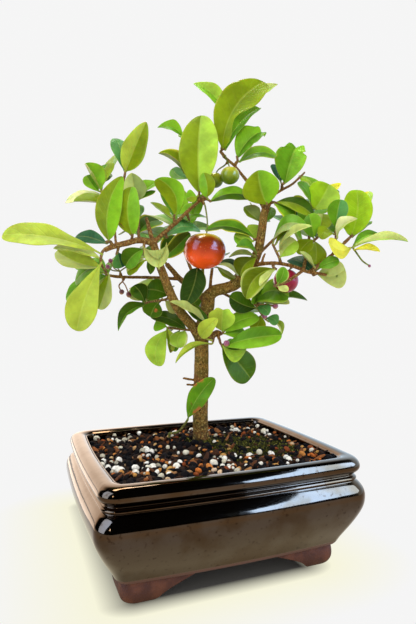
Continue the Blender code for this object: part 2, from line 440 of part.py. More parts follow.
         ((59, 213.5, -52), (68, 226, -38), 19, 40, 0, "round"))),
}

# Flower buds carried by the sprays and twigs: centre and radius
SPRAY_BUDS = {
    "leaves_low_fan": (((47.6, 156.5, 1.4), 1.9), ((40.6, 149.6, -2), 1.7)),
    "leaves_low_right_down": (((15.6, 131.7, 12.9), 1.9),),
    "leaves_right_tip": (((109.6, 182.8, 25.2), 0.9),),
}
# Bunches: stub on the wood, stalks from it, and the buds or fruitlets on them
BUNCHES = {
    "flower_buds": (((-54, 175.4, -9.3), (-54.4, 178.2, -7)),
        (((-54.6, 179, -6.3), (-51, 181.5, -3.5), (-48.8, 181.2, -3)),
         ((-54.6, 179, -6.3), (-56.5, 182, -4), (-57.3, 186.6, -2.9)),
         ((-54.6, 179, -6.3), (-58.5, 181, -2.5), (-60.9, 185.6, -0.9)),
         ((-54.6, 179, -6.3), (-59.5, 179.6, -1.5), (-62.6, 181.8, 1.1))),
        (((-48.2, 181.2, -2.8), 1.9), ((-57.3, 186.8, -2.9), 1.2), ((-61, 185.9, -0.8), 1.5),
         ((-62.8, 181.9, 1.2), 1.5))),
    "fruitlets": (((-52, 175.3, -10), (-52.6, 173, -7.6)),
        (((-53, 172.3, -7), (-55.3, 169.5, -5.5), (-53.8, 166, -4.8)),
         ((-53, 172.3, -7), (-51, 169.6, -5), (-48.9, 164.4, -3.9))),
        (((-53.6, 165.5, -4.8), 1.7), ((-48.8, 163.8, -3.8), 1.9))),
}

# Fruit: stub on the wood, stalk from it to the fruit, centre, across and upright radius
FRUIT = {
    "cherry_front": (((-1.5, 226.6, 5), (0.7, 223.4, 7.6)),
        ((2.2, 217, 10), (2.8, 210, 12.5), (2.2, 202.5, 14)), (1.6, 192.5, 14), 12.6, 11.3),
    "cherry_right": (((58.5, 182.7, 17.3), (58, 181.5, 14.6)),
        ((57.3, 180.6, 13.8), (56, 179.3, 13.2)), (54.6, 173.2, 13), 7.9, 7.8),
    "berry_front": (((13.6, 254.8, 0), (14.2, 255.2, 3)),
        ((15, 253.5, 4.4), (16.6, 250, 5), (17.4, 246.8, 5)), (17.5, 242.4, 5), 6.2, 5.9),
    "berry_rear": (((17, 252, 0), (15.2, 250.2, -2.8)),
        ((13.5, 248.6, -3.6), (10, 246.2, -2.6), (8.2, 243.5, -2)), (7.8, 239.3, -2), 5.4, 5.2),
}
FRUIT_LOBES = 3
FRUIT_LOBE_DEPTH = 0.035
FRUIT_DIMPLE = 0.16
FRUIT_DIMPLE_REACH = 0.12

# The shoot from the soil, with its one leaf
SHOOT_STEM = ((-21.5, 72.5, -16.5), (-18, 73, -14), (-14.4, 75, -11), (-9.8, 81.6, -5.5))
SHOOT_LEAF = ((-9.6, 83.2, -4.6), (7.6, 109, -2), 13.5, 20, 1.5, "oval")


def seen(place):
    """The point that appears at (across, up) from the viewing direction, and lies toward it."""
    across, up, toward = place
    near = (VIEW_DISTANCE - toward) / VIEW_DISTANCE
    sideways = VIEW_ACROSS + (across - VIEW_ACROSS) * near
    height = VIEW_UP + (up - VIEW_UP) * near
    return VIEW_RIGHT * sideways + VIEW_BACK * toward + UP * height


def make_material(name, colour, roughness, coat=0.0):
    material = bpy.data.materials.new(name)
    material.use_nodes = True
    shader = material.node_tree.nodes["Principled BSDF"]
    shader.inputs["Base Color"].default_value = (*colour, 1)
    shader.inputs["Roughness"].default_value = roughness
    shader.inputs["Coat Weight"].default_value = coat
    return material


def add_object(name, shape, collection):
    """A mesh object from (points in mm, faces)."""
    points, faces = shape
    mesh = bpy.data.meshes.new(name)
    mesh.from_pydata([point * MM for point in points], [], faces)
    mesh.update()
    added = bpy.data.objects.new(name, mesh)
    collection.objects.link(added)
    return added


def evaluated_shape(owner):
    """(points in mm, faces) of an object with its modifiers, its doubles merged."""
    bpy.context.view_layer.update()
    mesh = bpy.data.meshes.new_from_object(owner.evaluated_get(bpy.context.evaluated_depsgraph_get()))
    work = bmesh.new()
    work.from_mesh(mesh)
    bmesh.ops.remove_doubles(work, verts=work.verts, dist=1e-6)
    bmesh.ops.recalc_face_normals(work, faces=work.faces)
    points = [vert.co / MM for vert in work.verts]
    work.verts.index_update()
    faces = [[vert.index for vert in face.verts] for face in work.faces]
    work.free()
    bpy.data.meshes.remove(mesh)
    return points, faces


def tube(points, start, end, detail=1):
    """A tapering tube with filled caps through the points, as a bevelled curve made a mesh."""
    curve = bpy.data.curves.new("path", "CURVE")
    curve.dimensions = "3D"
    curve.bevel_depth = MM
    curve.bevel_resolution = detail
    curve.use_fill_caps = True
    spline = curve.splines.new("POLY")
    spline.points.add(len(points) - 1)
    for index, (knot, point) in enumerate(zip(spline.points, points)):
        knot.co = (*(point * MM), 1)
        knot.radius = start + (end - start) * index / (len(points) - 1)
    path = bpy.data.objects.new("path", curve)
    bpy.context.scene.collection.objects.link(path)
    shape = evaluated_shape(path)
    bpy.data.objects.remove(path)
    bpy.data.curves.remove(curve)
    return shape


def smooth_path(places, steps):
    """Points along a rounded curve through the places."""
    knots = [seen(place) for place in places]
    path = []
    for index in range(len(knots) - 1):
        before = knots[max(index - 1, 0)]
        here = knots[index]
        there = knots[index + 1]
        after = knots[min(index + 2, len(knots) - 1)]
        for step in range(steps):
            t = step / steps
            bend = (there - before) * t + (2 * before - 5 * here + 4 * there - after) * t**2
            bend += (3 * here - before - 3 * there + after) * t**3
            path.append(here + bend / 2)
    path.append(knots[-1])
    return path


def ball(centre, radius, upright, lobes=0.0, dimple=0.0, segments=8, rings=6):
    """A sphere, or a fruit with lobes round it and a dimple under its stalk."""
    work = bmesh.new()
    bmesh.ops.create_uvsphere(work, u_segments=segments, v_segments=rings, radius=1)
    for vert in work.verts:
        around = math.atan2(vert.co.y, vert.co.x)
        level = vert.co.z
        swell = 1 + lobes * math.cos(FRUIT_LOBES * around) * (1 - level * level)
        sink = dimple * math.exp(-(1 - level) / FRUIT_DIMPLE_REACH)
        vert.co = Vector((vert.co.x * swell * radius, vert.co.y * swell * radius,
                          (level - sink) * upright)) + centre
    points = [vert.co.copy() for vert in work.verts]
    work.verts.index_update()
    faces = [[vert.index for vert in face.verts] for face in work.faces]
    work.free()
    return points, faces


def stalk_root(paths, point):
    """Where a leaf's stalk starts: the nearest place on the twigs, a little past the stub."""
    places = []
    for path in paths:
        for start, end in zip(path, path[1:]):
            steps = max(1, round((end - start).length / ROOT_STEP))
            places += [start.lerp(end, step / steps) for step in range(steps + 1)]
    ends = [path[-1] for path in paths]
    clear = [place for place in places if (place - paths[0][0]).length >= ROOT_CLEAR
             and min((place - end).length for end in ends) >= ROOT_IN]
    return min(clear, key=lambda place: (place - point).length)


def leaf_shape(leaf, root, bend, grow=0.0, stalked=True):
    """A leaf as one loft: its stalk from root, and its folded, arched blade."""
    base_place, tip_place, width, turn, bow, kind = leaf
    fold, arch, blunt, widest, notch = LEAF_KINDS[kind]
    base = seen(base_place)
    tip = seen((tip_place[0], tip_place[1], tip_place[2] + bend))
    length = (tip - base).length
    along = (tip - base) / length
    near = (VIEW_DISTANCE - base_place[2]) / VIEW_DISTANCE
    facing = (VIEW_BACK - along * VIEW_BACK.dot(along)).normalized()
    side = along.cross(facing)
    if side.z < -0.05 or (abs(side.z) <= 0.05 and side.dot(VIEW_RIGHT) < 0):
        side = -side
    turned = math.radians(turn)
    normal = facing * math.cos(turned) + side * math.sin(turned)
    across = normal.cross(along)
    folded = math.radians(fold)
    half_blade = BLADE / 2 / math.cos(folded) + grow
    reach = base - root
    if reach.length > SHORT_STALK:
        stalk = reach.normalized()
    else:
        stalk = along
        root = root - along * max(0.0, ROOT_BACK - reach.dot(along))
    to_stalk = along.rotation_difference(stalk)
    to_middle = along.rotation_difference((stalk + along).normalized())
    rings = []
    if stalked:
        rings.append((root, to_stalk @ across * PETIOLE_HALF, to_stalk @ normal * PETIOLE_HALF,
                      Vector(), Vector()))
        if reach.length > LONG_STALK or reach.dot(along) < SIDEWAYS_STALK * reach.length:
            rings.append((base, to_middle @ across * (PETIOLE_HALF + grow),
                          to_middle @ normal * (PETIOLE_HALF + grow), Vector(), Vector()))
    for row in WIDE_ROWS if width > WIDE_LEAF and turn < STEEP_TURN else NARROW_ROWS:
        fullness = math.sin(math.pi * min(row, TIP_ROW) ** widest) ** blunt
        half = max(width * near / 2 * fullness, PETIOLE_HALF) + grow
        centre = base + along * (length * row)
        centre += (side * (bow * near) + normal * (arch * length)) * (4 * row * (1 - row))
        spread = across * (half * math.cos(folded))
        rise = normal * (half * math.sin(folded))
        middle = along * (-length * notch * max(0.0, (row - NOTCH_ROW) / (1 - NOTCH_ROW)))
        rings.append((centre, spread, normal * half_blade, rise, middle))
    if fold == 0:
        return flat_loft(rings)
    return creased_loft(rings)


def flat_loft(rings):
    """A blade through flat rings of four points. Both faces are split alike."""
    points = []
    for centre, spread, thick, rise, middle in rings:
        points += [centre - spread + thick, centre + spread + thick,
                   centre + spread - thick, centre - spread - thick]
    faces = [[0, 1, 3], [1, 2, 3]]
    for low in range(0, 4 * (len(rings) - 1), 4):
        for one, two, crossing in ((0, 1, 0), (1, 2, 0), (2, 3, 1), (3, 0, 0)):
            faces += split_square(low + one, low + two, low + 4 + one, low + 4 + two, crossing)
    end = 4 * (len(rings) - 1)
    faces += [[end, end + 3, end + 1], [end + 1, end + 3, end + 2]]
    return points, faces


def creased_loft(rings):
    """A blade through rings of six points, with a crease along the middle of each face."""
    points = []
    for centre, spread, thick, rise, middle in rings:
        points += [centre - spread + rise + thick, centre + middle + thick,
                   centre + spread + rise + thick, centre + spread + rise - thick,
                   centre + middle - thick, centre - spread + rise - thick]
    faces = [[0, 1, 5], [1, 4, 5], [1, 2, 4], [2, 3, 4]]
    for low in range(0, 6 * (len(rings) - 1), 6):
        for one, two, crossing in ((0, 1, 1), (1, 2, 0), (2, 3, 0), (3, 4, 1), (4, 5, 0), (5, 0, 0)):
            faces += split_square(low + one, low + two, low + 6 + one, low + 6 + two, crossing)
    end = 6 * (len(rings) - 1)
    faces += [[end, end + 5, end + 1], [end + 1, end + 5, end + 4],
              [end + 1, end + 4, end + 2], [end + 2, end + 4, end + 3]]
    return points, faces


def split_square(one, two, far_one, far_two, crossing):
    if crossing:
        return [[one, far_two, two], [one, far_one, far_two]]
    return [[one, far_one, two], [two, far_one, far_two]]


def tree_of(shape):
    points, faces = shape
    return BVHTree.FromPolygons(points, faces)


def box_of(shape):
    points = shape[0]
    low = Vector([min(point[axis] for point in points) for axis in range(3)])
    high = Vector([max(point[axis] for point in points) for axis in range(3)])
    return low, high


class Space:
    """What already stands somewhere, so that a new leaf can be bent clear of it."""

    def __init__(self):
        self.held = []

    def add(self, node, shape):
        self.held.append((node, box_of(shape), tree_of(shape)))

    def crossed(self, node, shape):
        low, high = box_of(shape)
        tree = tree_of(shape)
        found = set()
        for other, (other_low, other_high), other_tree in self.held:
            if other == node:
                continue
            if any(high[axis] < other_low[axis] or low[axis] > other_high[axis] for axis in range(3)):
                continue
            if tree.overlap(other_tree):
                found.add(other)
        return found


def clear_bend(space, name, blades, leaf, root):
    """How far the leaf's tip is bent so that it crosses nothing: first of its own spray too."""
    second_best = None
    for bend in BENDS:
        if space.crossed(name, leaf_shape(leaf, root, bend, CLEARANCE)):
            continue
        blade = tree_of(leaf_shape(leaf, root, bend, CLEARANCE / 2, stalked=False))
        if not any(blade.overlap(other) for other in blades):
            return bend
        if second_best is None:
            second_best = bend
    return second_best


def fuse(name, shapes, material, collection):
    """One body from overlapping shapes, by one Boolean union on a collection."""
    body = add_object(name, shapes[0], collection)
    helpers = bpy.data.collections.new(name + "_pieces")
    bpy.context.scene.collection.children.link(helpers)
    for index, shape in enumerate(shapes[1:]):
        add_object(f"{name}_piece_{index}", shape, helpers)
    union = body.modifiers.new("join", "BOOLEAN")
    union.operation = "UNION"
    union.operand_type = "COLLECTION"
    union.collection = helpers
    union.solver = "MANIFOLD"
    bpy.context.view_layer.update()
    graph = bpy.context.evaluated_depsgraph_get()
    joined = bpy.data.meshes.new_from_object(body.evaluated_get(graph))
    body.modifiers.clear()
    rough = body.data
    body.data = joined
    bpy.data.meshes.remove(rough)
    for helper in list(helpers.objects):
        mesh = helper.data
        bpy.data.objects.remove(helper)
        bpy.data.meshes.remove(mesh)
    bpy.data.collections.remove(helpers)
    joined.name = name
    fill_cavities(joined)
    joined.materials.clear()
    joined.materials.append(material)
    return body


def fill_cavities(mesh):
    """Takes out each shell that faces inwards: a pocket that crossing leaves have closed in."""
    work = bmesh.new()
    work.from_mesh(mesh)
    left = set(work.verts)
    pockets = []
    while left:
        shell = {left.pop()}
        edge = list(shell)
        while edge:
            vert = edge.pop()
            for link in vert.link_edges:
                other = link.other_vert(vert)
                if other not in shell:
                    shell.add(other)
                    edge.append(other)
        left -= shell
        volume = 0.0
        for face in {face for vert in shell for face in vert.link_faces}:
            first = face.verts[0].co
            for one, two in zip(face.verts[1:], face.verts[2:]):
                volume += first.dot(one.co.cross(two.co))
        if volume < 0:
            pockets += list(shell)
    bmesh.ops.delete(work, geom=pockets, context="VERTS")
    work.to_mesh(mesh)
    work.free()


def outline(inset, height):
    """A ring round the pot: a rectangle with round corners and bowed sides."""
    reach_x = POT_HALF_LENGTH - inset
    reach_y = POT_HALF_WIDTH - inset
    corner = max(POT_CORNER - inset * POT_CORNER_SHRINK, POT_CORNER_LEAST)
    ring = []
    for index, (sign_x, sign_y) in enumerate(((1, -1), (1, 1), (-1, 1), (-1, -1))):
        middle = Vector((sign_x * (reach_x - corner), sign_y * (reach_y - corner), height))
        for step in range(CORNER_STEPS + 1):
            turn = math.radians(90 * (index - 1) + 90 * step / CORNER_STEPS)
            ring.append(middle + Vector((math.cos(turn), math.sin(turn), 0)) * corner)
        straight = reach_y - corner if index % 2 == 0 else reach_x - corner
        last = ring[-1]
        heading = Vector((-math.sin(turn), math.cos(turn), 0))
        outward = Vector((math.cos(turn), math.sin(turn), 0))
        bow = POT_BOW * (POT_SHORT_SIDE_BOW if index % 2 == 0 else 1.0)
        for step in range(1, SIDE_STEPS):
            share = step / SIDE_STEPS
            bulge = bow * 4 * share * (1 - share)
            ring.append(last + heading * (2 * straight * share) + outward * bulge)
    return ring


def loft(rings):
    """A closed body through rings that have the same number of points, with flat ends."""
    count = len(rings[0])
    points = [point for ring in rings for point in ring]
    faces = [list(range(count))[::-1]]
    for low in range(0, (len(rings) - 1) * count, count):
        for step in range(count):
            after = (step + 1) % count
            faces.append([low + step, low + after, low + count + after, low + count + step])
    faces.append(list(range((len(rings) - 1) * count, len(rings) * count)))
    return points, faces


def foot_outline(leg, inset, height):
    """The L-shaped plan of the foot at the +X +Y corner."""
    reach_x = POT_HALF_LENGTH - inset
    reach_y = POT_HALF_WIDTH - inset
    ring = []
    for step in range(FOOT_CORNER_STEPS + 1):
        turn = math.radians(90 * step / FOOT_CORNER_STEPS)
        ring.append(Vector((reach_x - FOOT_CORNER + FOOT_CORNER * math.cos(turn),
                            reach_y - FOOT_CORNER + FOOT_CORNER * math.sin(turn), height)))
    ring.append(Vector((reach_x - leg, reach_y, height)))
    ring.append(Vector((reach_x - leg, reach_y - FOOT_THICKNESS, height)))
    ring.append(Vector((reach_x - FOOT_THICKNESS, reach_y - FOOT_THICKNESS, height)))
    ring.append(Vector((reach_x - FOOT_THICKNESS, reach_y - leg, height)))
    ring.append(Vector((reach_x, reach_y - leg, height)))
    return ring


def make_pot(collection, cutters, material):
    """The fired pot: its bellied body, rolled rim, four cloud feet and drain holes."""
    body = loft([outline(inset, height) for inset, height in POT_PROFILE])
    foot = loft([foot_outline(leg, inset, height) for height, leg, inset in FOOT_LEVELS])
    shapes = [body]
    for sign_x, sign_y in ((1, 1), (-1, 1), (-1, -1), (1, -1)):
        points = [Vector((point.x * sign_x, point.y * sign_y, point.z)) for point in foot[0]]
        faces = foot[1] if sign_x * sign_y > 0 else [face[::-1] for face in foot[1]]
        shapes.append((points, faces))
    pot = fuse("pot", shapes, material, collection)
    for sign in (-1, 1):
        bpy.ops.mesh.primitive_cylinder_add(vertices=16, radius=DRAIN_RADIUS * MM, depth=20 * MM,
                                            location=(sign * DRAIN_SPREAD * MM, 0, POT_BASE * MM))
        drain = bpy.context.object
        drain.name = f"drain_{'left' if sign < 0 else 'right'}"
        move_to(drain, cutters)
        cut(pot, drain)
    return pot


def move_to(owner, collection):
    for holder in list(owner.users_collection):
        holder.objects.unlink(owner)
    collection.objects.link(owner)
    owner.hide_render = True
    owner.display_type = "WIRE"


def cut(body, cutter):
    hole = body.modifiers.new(cutter.name, "BOOLEAN")
    hole.operation = "DIFFERENCE"
    hole.object = cutter


def soil_height(x, y, edge):
    """Height of the soil: heaped to the front, mounded round the trunk, and lumpy."""
    trunk = seen(TRUNK_FOOT)
    heap = SOIL_FRONT_HEAP * (1 - math.tanh((y - SOIL_HEAP_MIDDLE) / SOIL_HEAP_RUN)) / 2
    away = math.hypot(x - trunk.x, y - trunk.y) / SOIL_MOUND_RADIUS
    mound = SOIL_MOUND * math.exp(-away * away)
    lumps = math.sin(0.31 * x + 1.3 * math.sin(0.17 * y)) * math.cos(0.27 * y + math.sin(0.23 * x))
    return SOIL_LEVEL + heap + mound * (1 - edge) + SOIL_RELIEF * lumps


def make_soil(collection, cutters, material):
    """The soil: a filled block with a mounded top, and plain holes for trunk and shoot."""
    rings = [outline(inset, height) for inset, height in SOIL_SIDES]
    wall = outline(SOIL_TOP_INSET, 0)
    for share in SOIL_RINGS:
        ring = []
        for point in wall:
            x = point.x * share
            y = point.y * share
            edge = max(0.0, (share - SOIL_EDGE) / (1 - SOIL_EDGE))
            ring.append(Vector((x, y, soil_height(x, y, edge))))
        rings.append(ring)
    soil = add_object("soil", loft(rings), collection)
    soil.data.materials.append(material)
    for name, place, radius, bottom in (
        ("trunk_hole", TRUNK_FOOT, TRUNK_ROOT_RADIUS, TRUNK_ROOT_BOTTOM),
        ("shoot_hole", SHOOT_FOOT, SHOOT_RADIUS, SHOOT_BOTTOM),
    ):
        foot = seen(place)
        low = bottom - GAP
        bpy.ops.mesh.primitive_cylinder_add(
            vertices=ROOT_SIDES, radius=(radius + GAP) * MM, depth=(HOLE_TOP - low) * MM,
            location=(foot.x * MM, foot.y * MM, (HOLE_TOP + low) / 2 * MM))
        hole = bpy.context.object
        hole.name = name
        move_to(hole, cutters)
        cut(soil, hole)
    return soil


def root_plug(place, radius, bottom, top):
    """The straight upright root that stands in its hole."""
    foot = seen(place)
    work = bmesh.new()
    bmesh.ops.create_cone(work, cap_ends=True, segments=ROOT_SIDES, radius1=radius,
                          radius2=radius, depth=top - bottom)
    points = [vert.co + Vector((foot.x, foot.y, (top + bottom) / 2)) for vert in work.verts]
    work.verts.index_update()
    faces = [[vert.index for vert in face.verts] for face in work.faces]
    work.free()
    return points, faces


def stub_end(stub):
    """Where a stub ends, and the direction in which it ends."""
    inside = seen(stub[0])
    end = seen(stub[1])
    return end, (end - inside).normalized()


def wood_shapes():
    """The trunk, the branches and the short stubs that carry sprays, fruit and buds."""
    shapes = [tube(smooth_path(TRUNK[2], 1), TRUNK[0], TRUNK[1], 3)]
    shapes.append(root_plug(TRUNK_FOOT, TRUNK_ROOT_RADIUS, TRUNK_ROOT_BOTTOM, TRUNK_ROOT_TOP))
    for start, end, places in BRANCHES.values():
        detail = 2 if start > THICK_BRANCH else 1
        steps = 2 if start > SLIM_BRANCH else 1
        shapes.append(tube(smooth_path(places, steps), start, end, detail))
    ends = {places[-1] for start, end, places in BRANCHES.values()}
    for stub in all_stubs():
        if stub[1] in ends:
            continue
        shapes.append(tube([seen(stub[0]), seen(stub[1])], *STUB_RADII, 0))
    return shapes


def all_stubs():
    found = [spray[0] for spray in SPRAYS.values()]
    found += [bunch[0] for bunch in BUNCHES.values()]
    found += [fruit[0] for fruit in FRUIT.values()]
    return found


def carried_path(stub, places):
    """A twig or stalk that goes on from a stub, its first stretch square to the stub's end."""
    end, heading = stub_end(stub)
    square = [end + heading * GAP, end + heading * (GAP + SQUARE_STRETCH)]
    return square + [seen(place) for place in places]


def twig_paths(stub, twigs):
    """The spray's twigs. The first is at least long enough to root its leaves clear of the wood."""
    paths = [carried_path(stub, twigs[0])]
    first = paths[0]
    missing = SHORTEST_TWIG - sum((end - start).length for start, end in zip(first, first[1:]))
    if missing > 0:
        first[-1] = first[-1] + (first[-1] - first[-2]).normalized() * missing
    for twig in twigs[1:]:
        paths.append([seen(place) for place in twig])
    return paths


def main():
    for owner in list(bpy.data.objects):
        bpy.data.objects.remove(owner)
    scene = bpy.context.scene
    scene.unit_settings.scale_length = 1.0
    plant = bpy.data.collections.new("barbados_cherry_bonsai")
    cutters = bpy.data.collections.new("cutters")
    for collection in (plant, cutters):
        scene.collection.children.link(collection)

    glaze = make_material("pot_glaze", (0.045, 0.028, 0.02), 0.12, 1.0)
    earth = make_material("soil", (0.05, 0.035, 0.025), 0.95)
    bark = make_material("bark", (0.2, 0.12, 0.07), 0.8)
    leaf_green = make_material("leaf", (0.16, 0.3, 0.03), 0.4)
    red = make_material("cherry", (0.62, 0.08, 0.02), 0.25)
    dark_red = make_material("cherry_dark", (0.3, 0.02, 0.03), 0.3)
    unripe = make_material("berry", (0.25, 0.32, 0.03), 0.35)
    bud = make_material("bud", (0.45, 0.1, 0.14), 0.6)

    make_pot(plant, cutters, glaze)
    make_soil(plant, cutters, earth)

    space = Space()
    wood = wood_shapes()
    for shape in wood:
        space.add("wood", shape)

    pieces = {}
    materials = {}
    for name, (stub, places, centre, radius, upright) in FRUIT.items():
        middle = seen(centre)
        stalk = tube(carried_path(stub, places), STALK_ROOT_RADIUS, STALK_RADIUS, 0)
        fruit = ball(middle, radius, upright, FRUIT_LOBE_DEPTH, FRUIT_DIMPLE, 12, 8)
        pieces[name] = [fruit, stalk]
        materials[name] = {"cherry_front": red, "cherry_right": dark_red}.get(name, unripe)
    for name, (stub, stalks, buds) in BUNCHES.items():
        pieces[name] = [tube(carried_path(stub, stalks[0]), STALK_ROOT_RADIUS, STALK_RADIUS, 0)]
        for stalk in stalks[1:]:
            pieces[name].append(tube([seen(place) for place in stalk], STALK_RADIUS, STALK_RADIUS, 0))
        for centre, radius in buds:
            pieces[name].append(ball(seen(centre), radius, radius, segments=6, rings=4))
        materials[name] = bud

    paths = {}
    for name, (stub, twigs, leaves) in SPRAYS.items():
        paths[name] = twig_paths(stub, twigs)
        shapes = []
        for path in paths[name]:
            shapes.append(tube(path, TWIG_RADIUS, TWIG_RADIUS * SPRAY_TAPER, 0))
        for centre, radius in SPRAY_BUDS.get(name, ()):
            shapes.append(ball(seen(centre), radius, radius, segments=6, rings=4))
        pieces[name] = shapes
        materials[name] = leaf_green
    shoot_stem = [seen(place) for place in SHOOT_STEM]
    shoot_path = [seen(SHOOT_FOOT) - UP * SHOOT_SUNK] + shoot_stem
    pieces["shoot"] = [root_plug(SHOOT_FOOT, SHOOT_RADIUS, SHOOT_BOTTOM, SHOOT_ROOT_TOP),
                       tube(shoot_path, SHOOT_RADIUS, SHOOT_END_RADIUS, 1)]
    materials["shoot"] = leaf_green
    for name, shapes in pieces.items():
        for shape in shapes:
            space.add(name, shape)

    shoot_leaf = leaf_shape(SHOOT_LEAF, shoot_stem[-1], 0)
    pieces["shoot"].append(shoot_leaf)
    space.add("shoot", shoot_leaf)
    for name, (stub, twigs, leaves) in SPRAYS.items():
        blades = []
        for leaf in leaves:
            root = stalk_root(paths[name], seen(leaf[0]))
            bend = clear_bend(space, name, blades, leaf, root)
            if bend is None:
                continue
            shape = leaf_shape(leaf, root, bend)
            blades.append(tree_of(leaf_shape(leaf, root, bend, stalked=False)))
            pieces[name].append(shape)
            space.add(name, shape)

    fuse("wood", wood, bark, plant)
    for name, shapes in pieces.items():
        fuse(name, shapes, materials[name], plant)

    centre_on_footprint(plant)


def centre_on_footprint(plant):
    """Stands the plant on the origin: the middle of its box, at the feet's level."""
    bpy.context.view_layer.update()
    graph = bpy.context.evaluated_depsgraph_get()
    corners = []
    for owner in plant.objects:
        solid = owner.evaluated_get(graph).to_mesh()
        corners += [owner.matrix_world @ vert.co for vert in solid.vertices]
    low = [min(corner[axis] for corner in corners) for axis in range(2)]
    high = [max(corner[axis] for corner in corners) for axis in range(2)]
    stand = bpy.data.objects.new("standing_point", None)
    plant.objects.link(stand)
    stand.location = (-(low[0] + high[0]) / 2, -(low[1] + high[1]) / 2, 0)
    bpy.context.view_layer.update()
    for owner in list(bpy.data.objects):
        if owner.type == "MESH":
            owner.parent = stand


main()
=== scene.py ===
import math
import random
from collections import namedtuple

import bmesh
import bpy
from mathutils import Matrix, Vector, kdtree, noise


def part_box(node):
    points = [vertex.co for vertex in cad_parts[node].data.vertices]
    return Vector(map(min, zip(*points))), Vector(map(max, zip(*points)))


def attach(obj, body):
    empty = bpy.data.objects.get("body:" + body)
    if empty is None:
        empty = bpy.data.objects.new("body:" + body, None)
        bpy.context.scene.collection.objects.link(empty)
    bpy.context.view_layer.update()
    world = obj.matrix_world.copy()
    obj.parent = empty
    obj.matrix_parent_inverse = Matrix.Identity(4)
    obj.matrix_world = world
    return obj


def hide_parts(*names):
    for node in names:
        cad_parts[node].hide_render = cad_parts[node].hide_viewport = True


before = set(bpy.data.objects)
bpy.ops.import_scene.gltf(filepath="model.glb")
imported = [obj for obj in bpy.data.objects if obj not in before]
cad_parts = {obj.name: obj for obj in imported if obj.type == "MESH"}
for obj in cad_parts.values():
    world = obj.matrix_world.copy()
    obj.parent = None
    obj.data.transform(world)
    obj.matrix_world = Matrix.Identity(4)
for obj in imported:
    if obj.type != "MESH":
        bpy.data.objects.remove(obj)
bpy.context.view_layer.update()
print("frame loaded")

mm = 0.001
upward = Vector((0, 0, 1))
potLow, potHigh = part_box("pot")
potCentre = Vector(((potLow[0] + potHigh[0]) / 2, (potLow[1] + potHigh[1]) / 2, 0)) / mm

# The plant's places are written as they are seen from the front left: across and up on the
# upright plane through the pot's middle, and toward the viewer from that plane, in mm
view = {
    "angle": math.radians(-21.63),
    "rise": math.radians(-0.27),
    "roll": math.radians(0.13),
    "distance": 329.7,
    "plane": 330,
    "across": 3.35,
    "up": 152.35,
    "lens": 28.91,
}
viewRight = Vector((math.cos(view["angle"]), math.sin(view["angle"]), 0))
viewBack = Vector((math.sin(view["angle"]), -math.cos(view["angle"]), 0))


def nearness(toward):
    return (view["plane"] - toward) / view["plane"]


def seen(place):
    across, up, toward = place
    sideways = view["across"] + (across - view["across"]) * nearness(toward)
    height = view["up"] + (up - view["up"]) * nearness(toward)
    return potCentre + viewRight * sideways + viewBack * toward + upward * height


def smoothPath(knots, steps):
    path = []
    for index in range(len(knots) - 1):
        before = knots[max(index - 1, 0)]
        here = knots[index]
        there = knots[index + 1]
        after = knots[min(index + 2, len(knots) - 1)]
        for step in range(steps):
            t = step / steps
            turn = (there - before) * t + (2 * before - 5 * here + 4 * there - after) * t**2
            turn += (3 * here - before - 3 * there + after) * t**3
            path.append(here + turn / 2)
    path.append(knots[-1])
    return path


def easeIn(low, high, value):
    share = min(1.0, max(0.0, (value - low) / (high - low)))
    return share * share * (3 - 2 * share)


def blendColours(first, second, share):
    return tuple(a + (b - a) * share for a, b in zip(first, second))


# Meshes

class Shape:
    def __init__(self):
        self.points = []
        self.faces = []
        self.finishes = []
        self.tints = []
        self.blades = []

    def add(self, points, faces, finish, tints, blades=None):
        start = len(self.points)
        self.points += points
        self.faces += [[start + corner for corner in face] for face in faces]
        self.finishes += [finish] * len(faces)
        self.tints += tints
        self.blades += blades or [(0.5, 0.5)] * len(points)

    def addMesh(self, mesh, finish, tint):
        points = [vert.co / mm for vert in mesh.vertices]
        self.add(points, [list(face.vertices) for face in mesh.polygons], finish, [tint] * len(points))
        bpy.data.meshes.remove(mesh)

    def build(self, name, materials):
        mesh = newMesh(name, self.points, self.faces, materials)
        mesh.polygons.foreach_set("material_index", self.finishes)
        tint = mesh.color_attributes.new("tint", "FLOAT_COLOR", "POINT")
        tint.data.foreach_set("color", [part for colour in self.tints for part in (*colour, 1)])
        blade = mesh.uv_layers.new(name="blade")
        corners = [loop.vertex_index for loop in mesh.loops]
        blade.data.foreach_set("uv", [part for corner in corners for part in self.blades[corner]])
        mesh.update()
        return newPiece(name, mesh)


def newMesh(name, points, faces, materials):
    mesh = bpy.data.meshes.new(name)
    mesh.from_pydata([point * mm for point in points], [], faces)
    mesh.polygons.foreach_set("use_smooth", [True] * len(faces))
    for material in materials:
        mesh.materials.append(material)
    return mesh


def newPiece(name, data):
    piece = bpy.data.objects.new(name, data)
    bpy.context.scene.collection.objects.link(piece)
    return piece


def placedMesh(name, points, faces, materials):
    mesh = newMesh(name, [point + potCentre for point in points], faces, materials)
    mesh.update()
    return newPiece(name, mesh)


def dropPiece(piece):
    mesh = piece.data
    bpy.data.objects.remove(piece)
    bpy.data.meshes.remove(mesh)


def pointValues(mesh, name, values):
    layer = mesh.attributes.new(name, "FLOAT", "POINT")
    layer.data.foreach_set("value", values)


def evaluatedMesh(owner):
    bpy.context.view_layer.update()
    return bpy.data.meshes.new_from_object(owner.evaluated_get(bpy.context.evaluated_depsgraph_get()))


def applyModifiers(owner):
    rough = owner.data
    mesh = evaluatedMesh(owner)
    owner.modifiers.clear()
    owner.data = mesh
    bpy.data.meshes.remove(rough)
    mesh.name = owner.name


def settle(piece, slot, *nodes):
    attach(piece, "root")
    if nodes:
        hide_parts(*nodes)


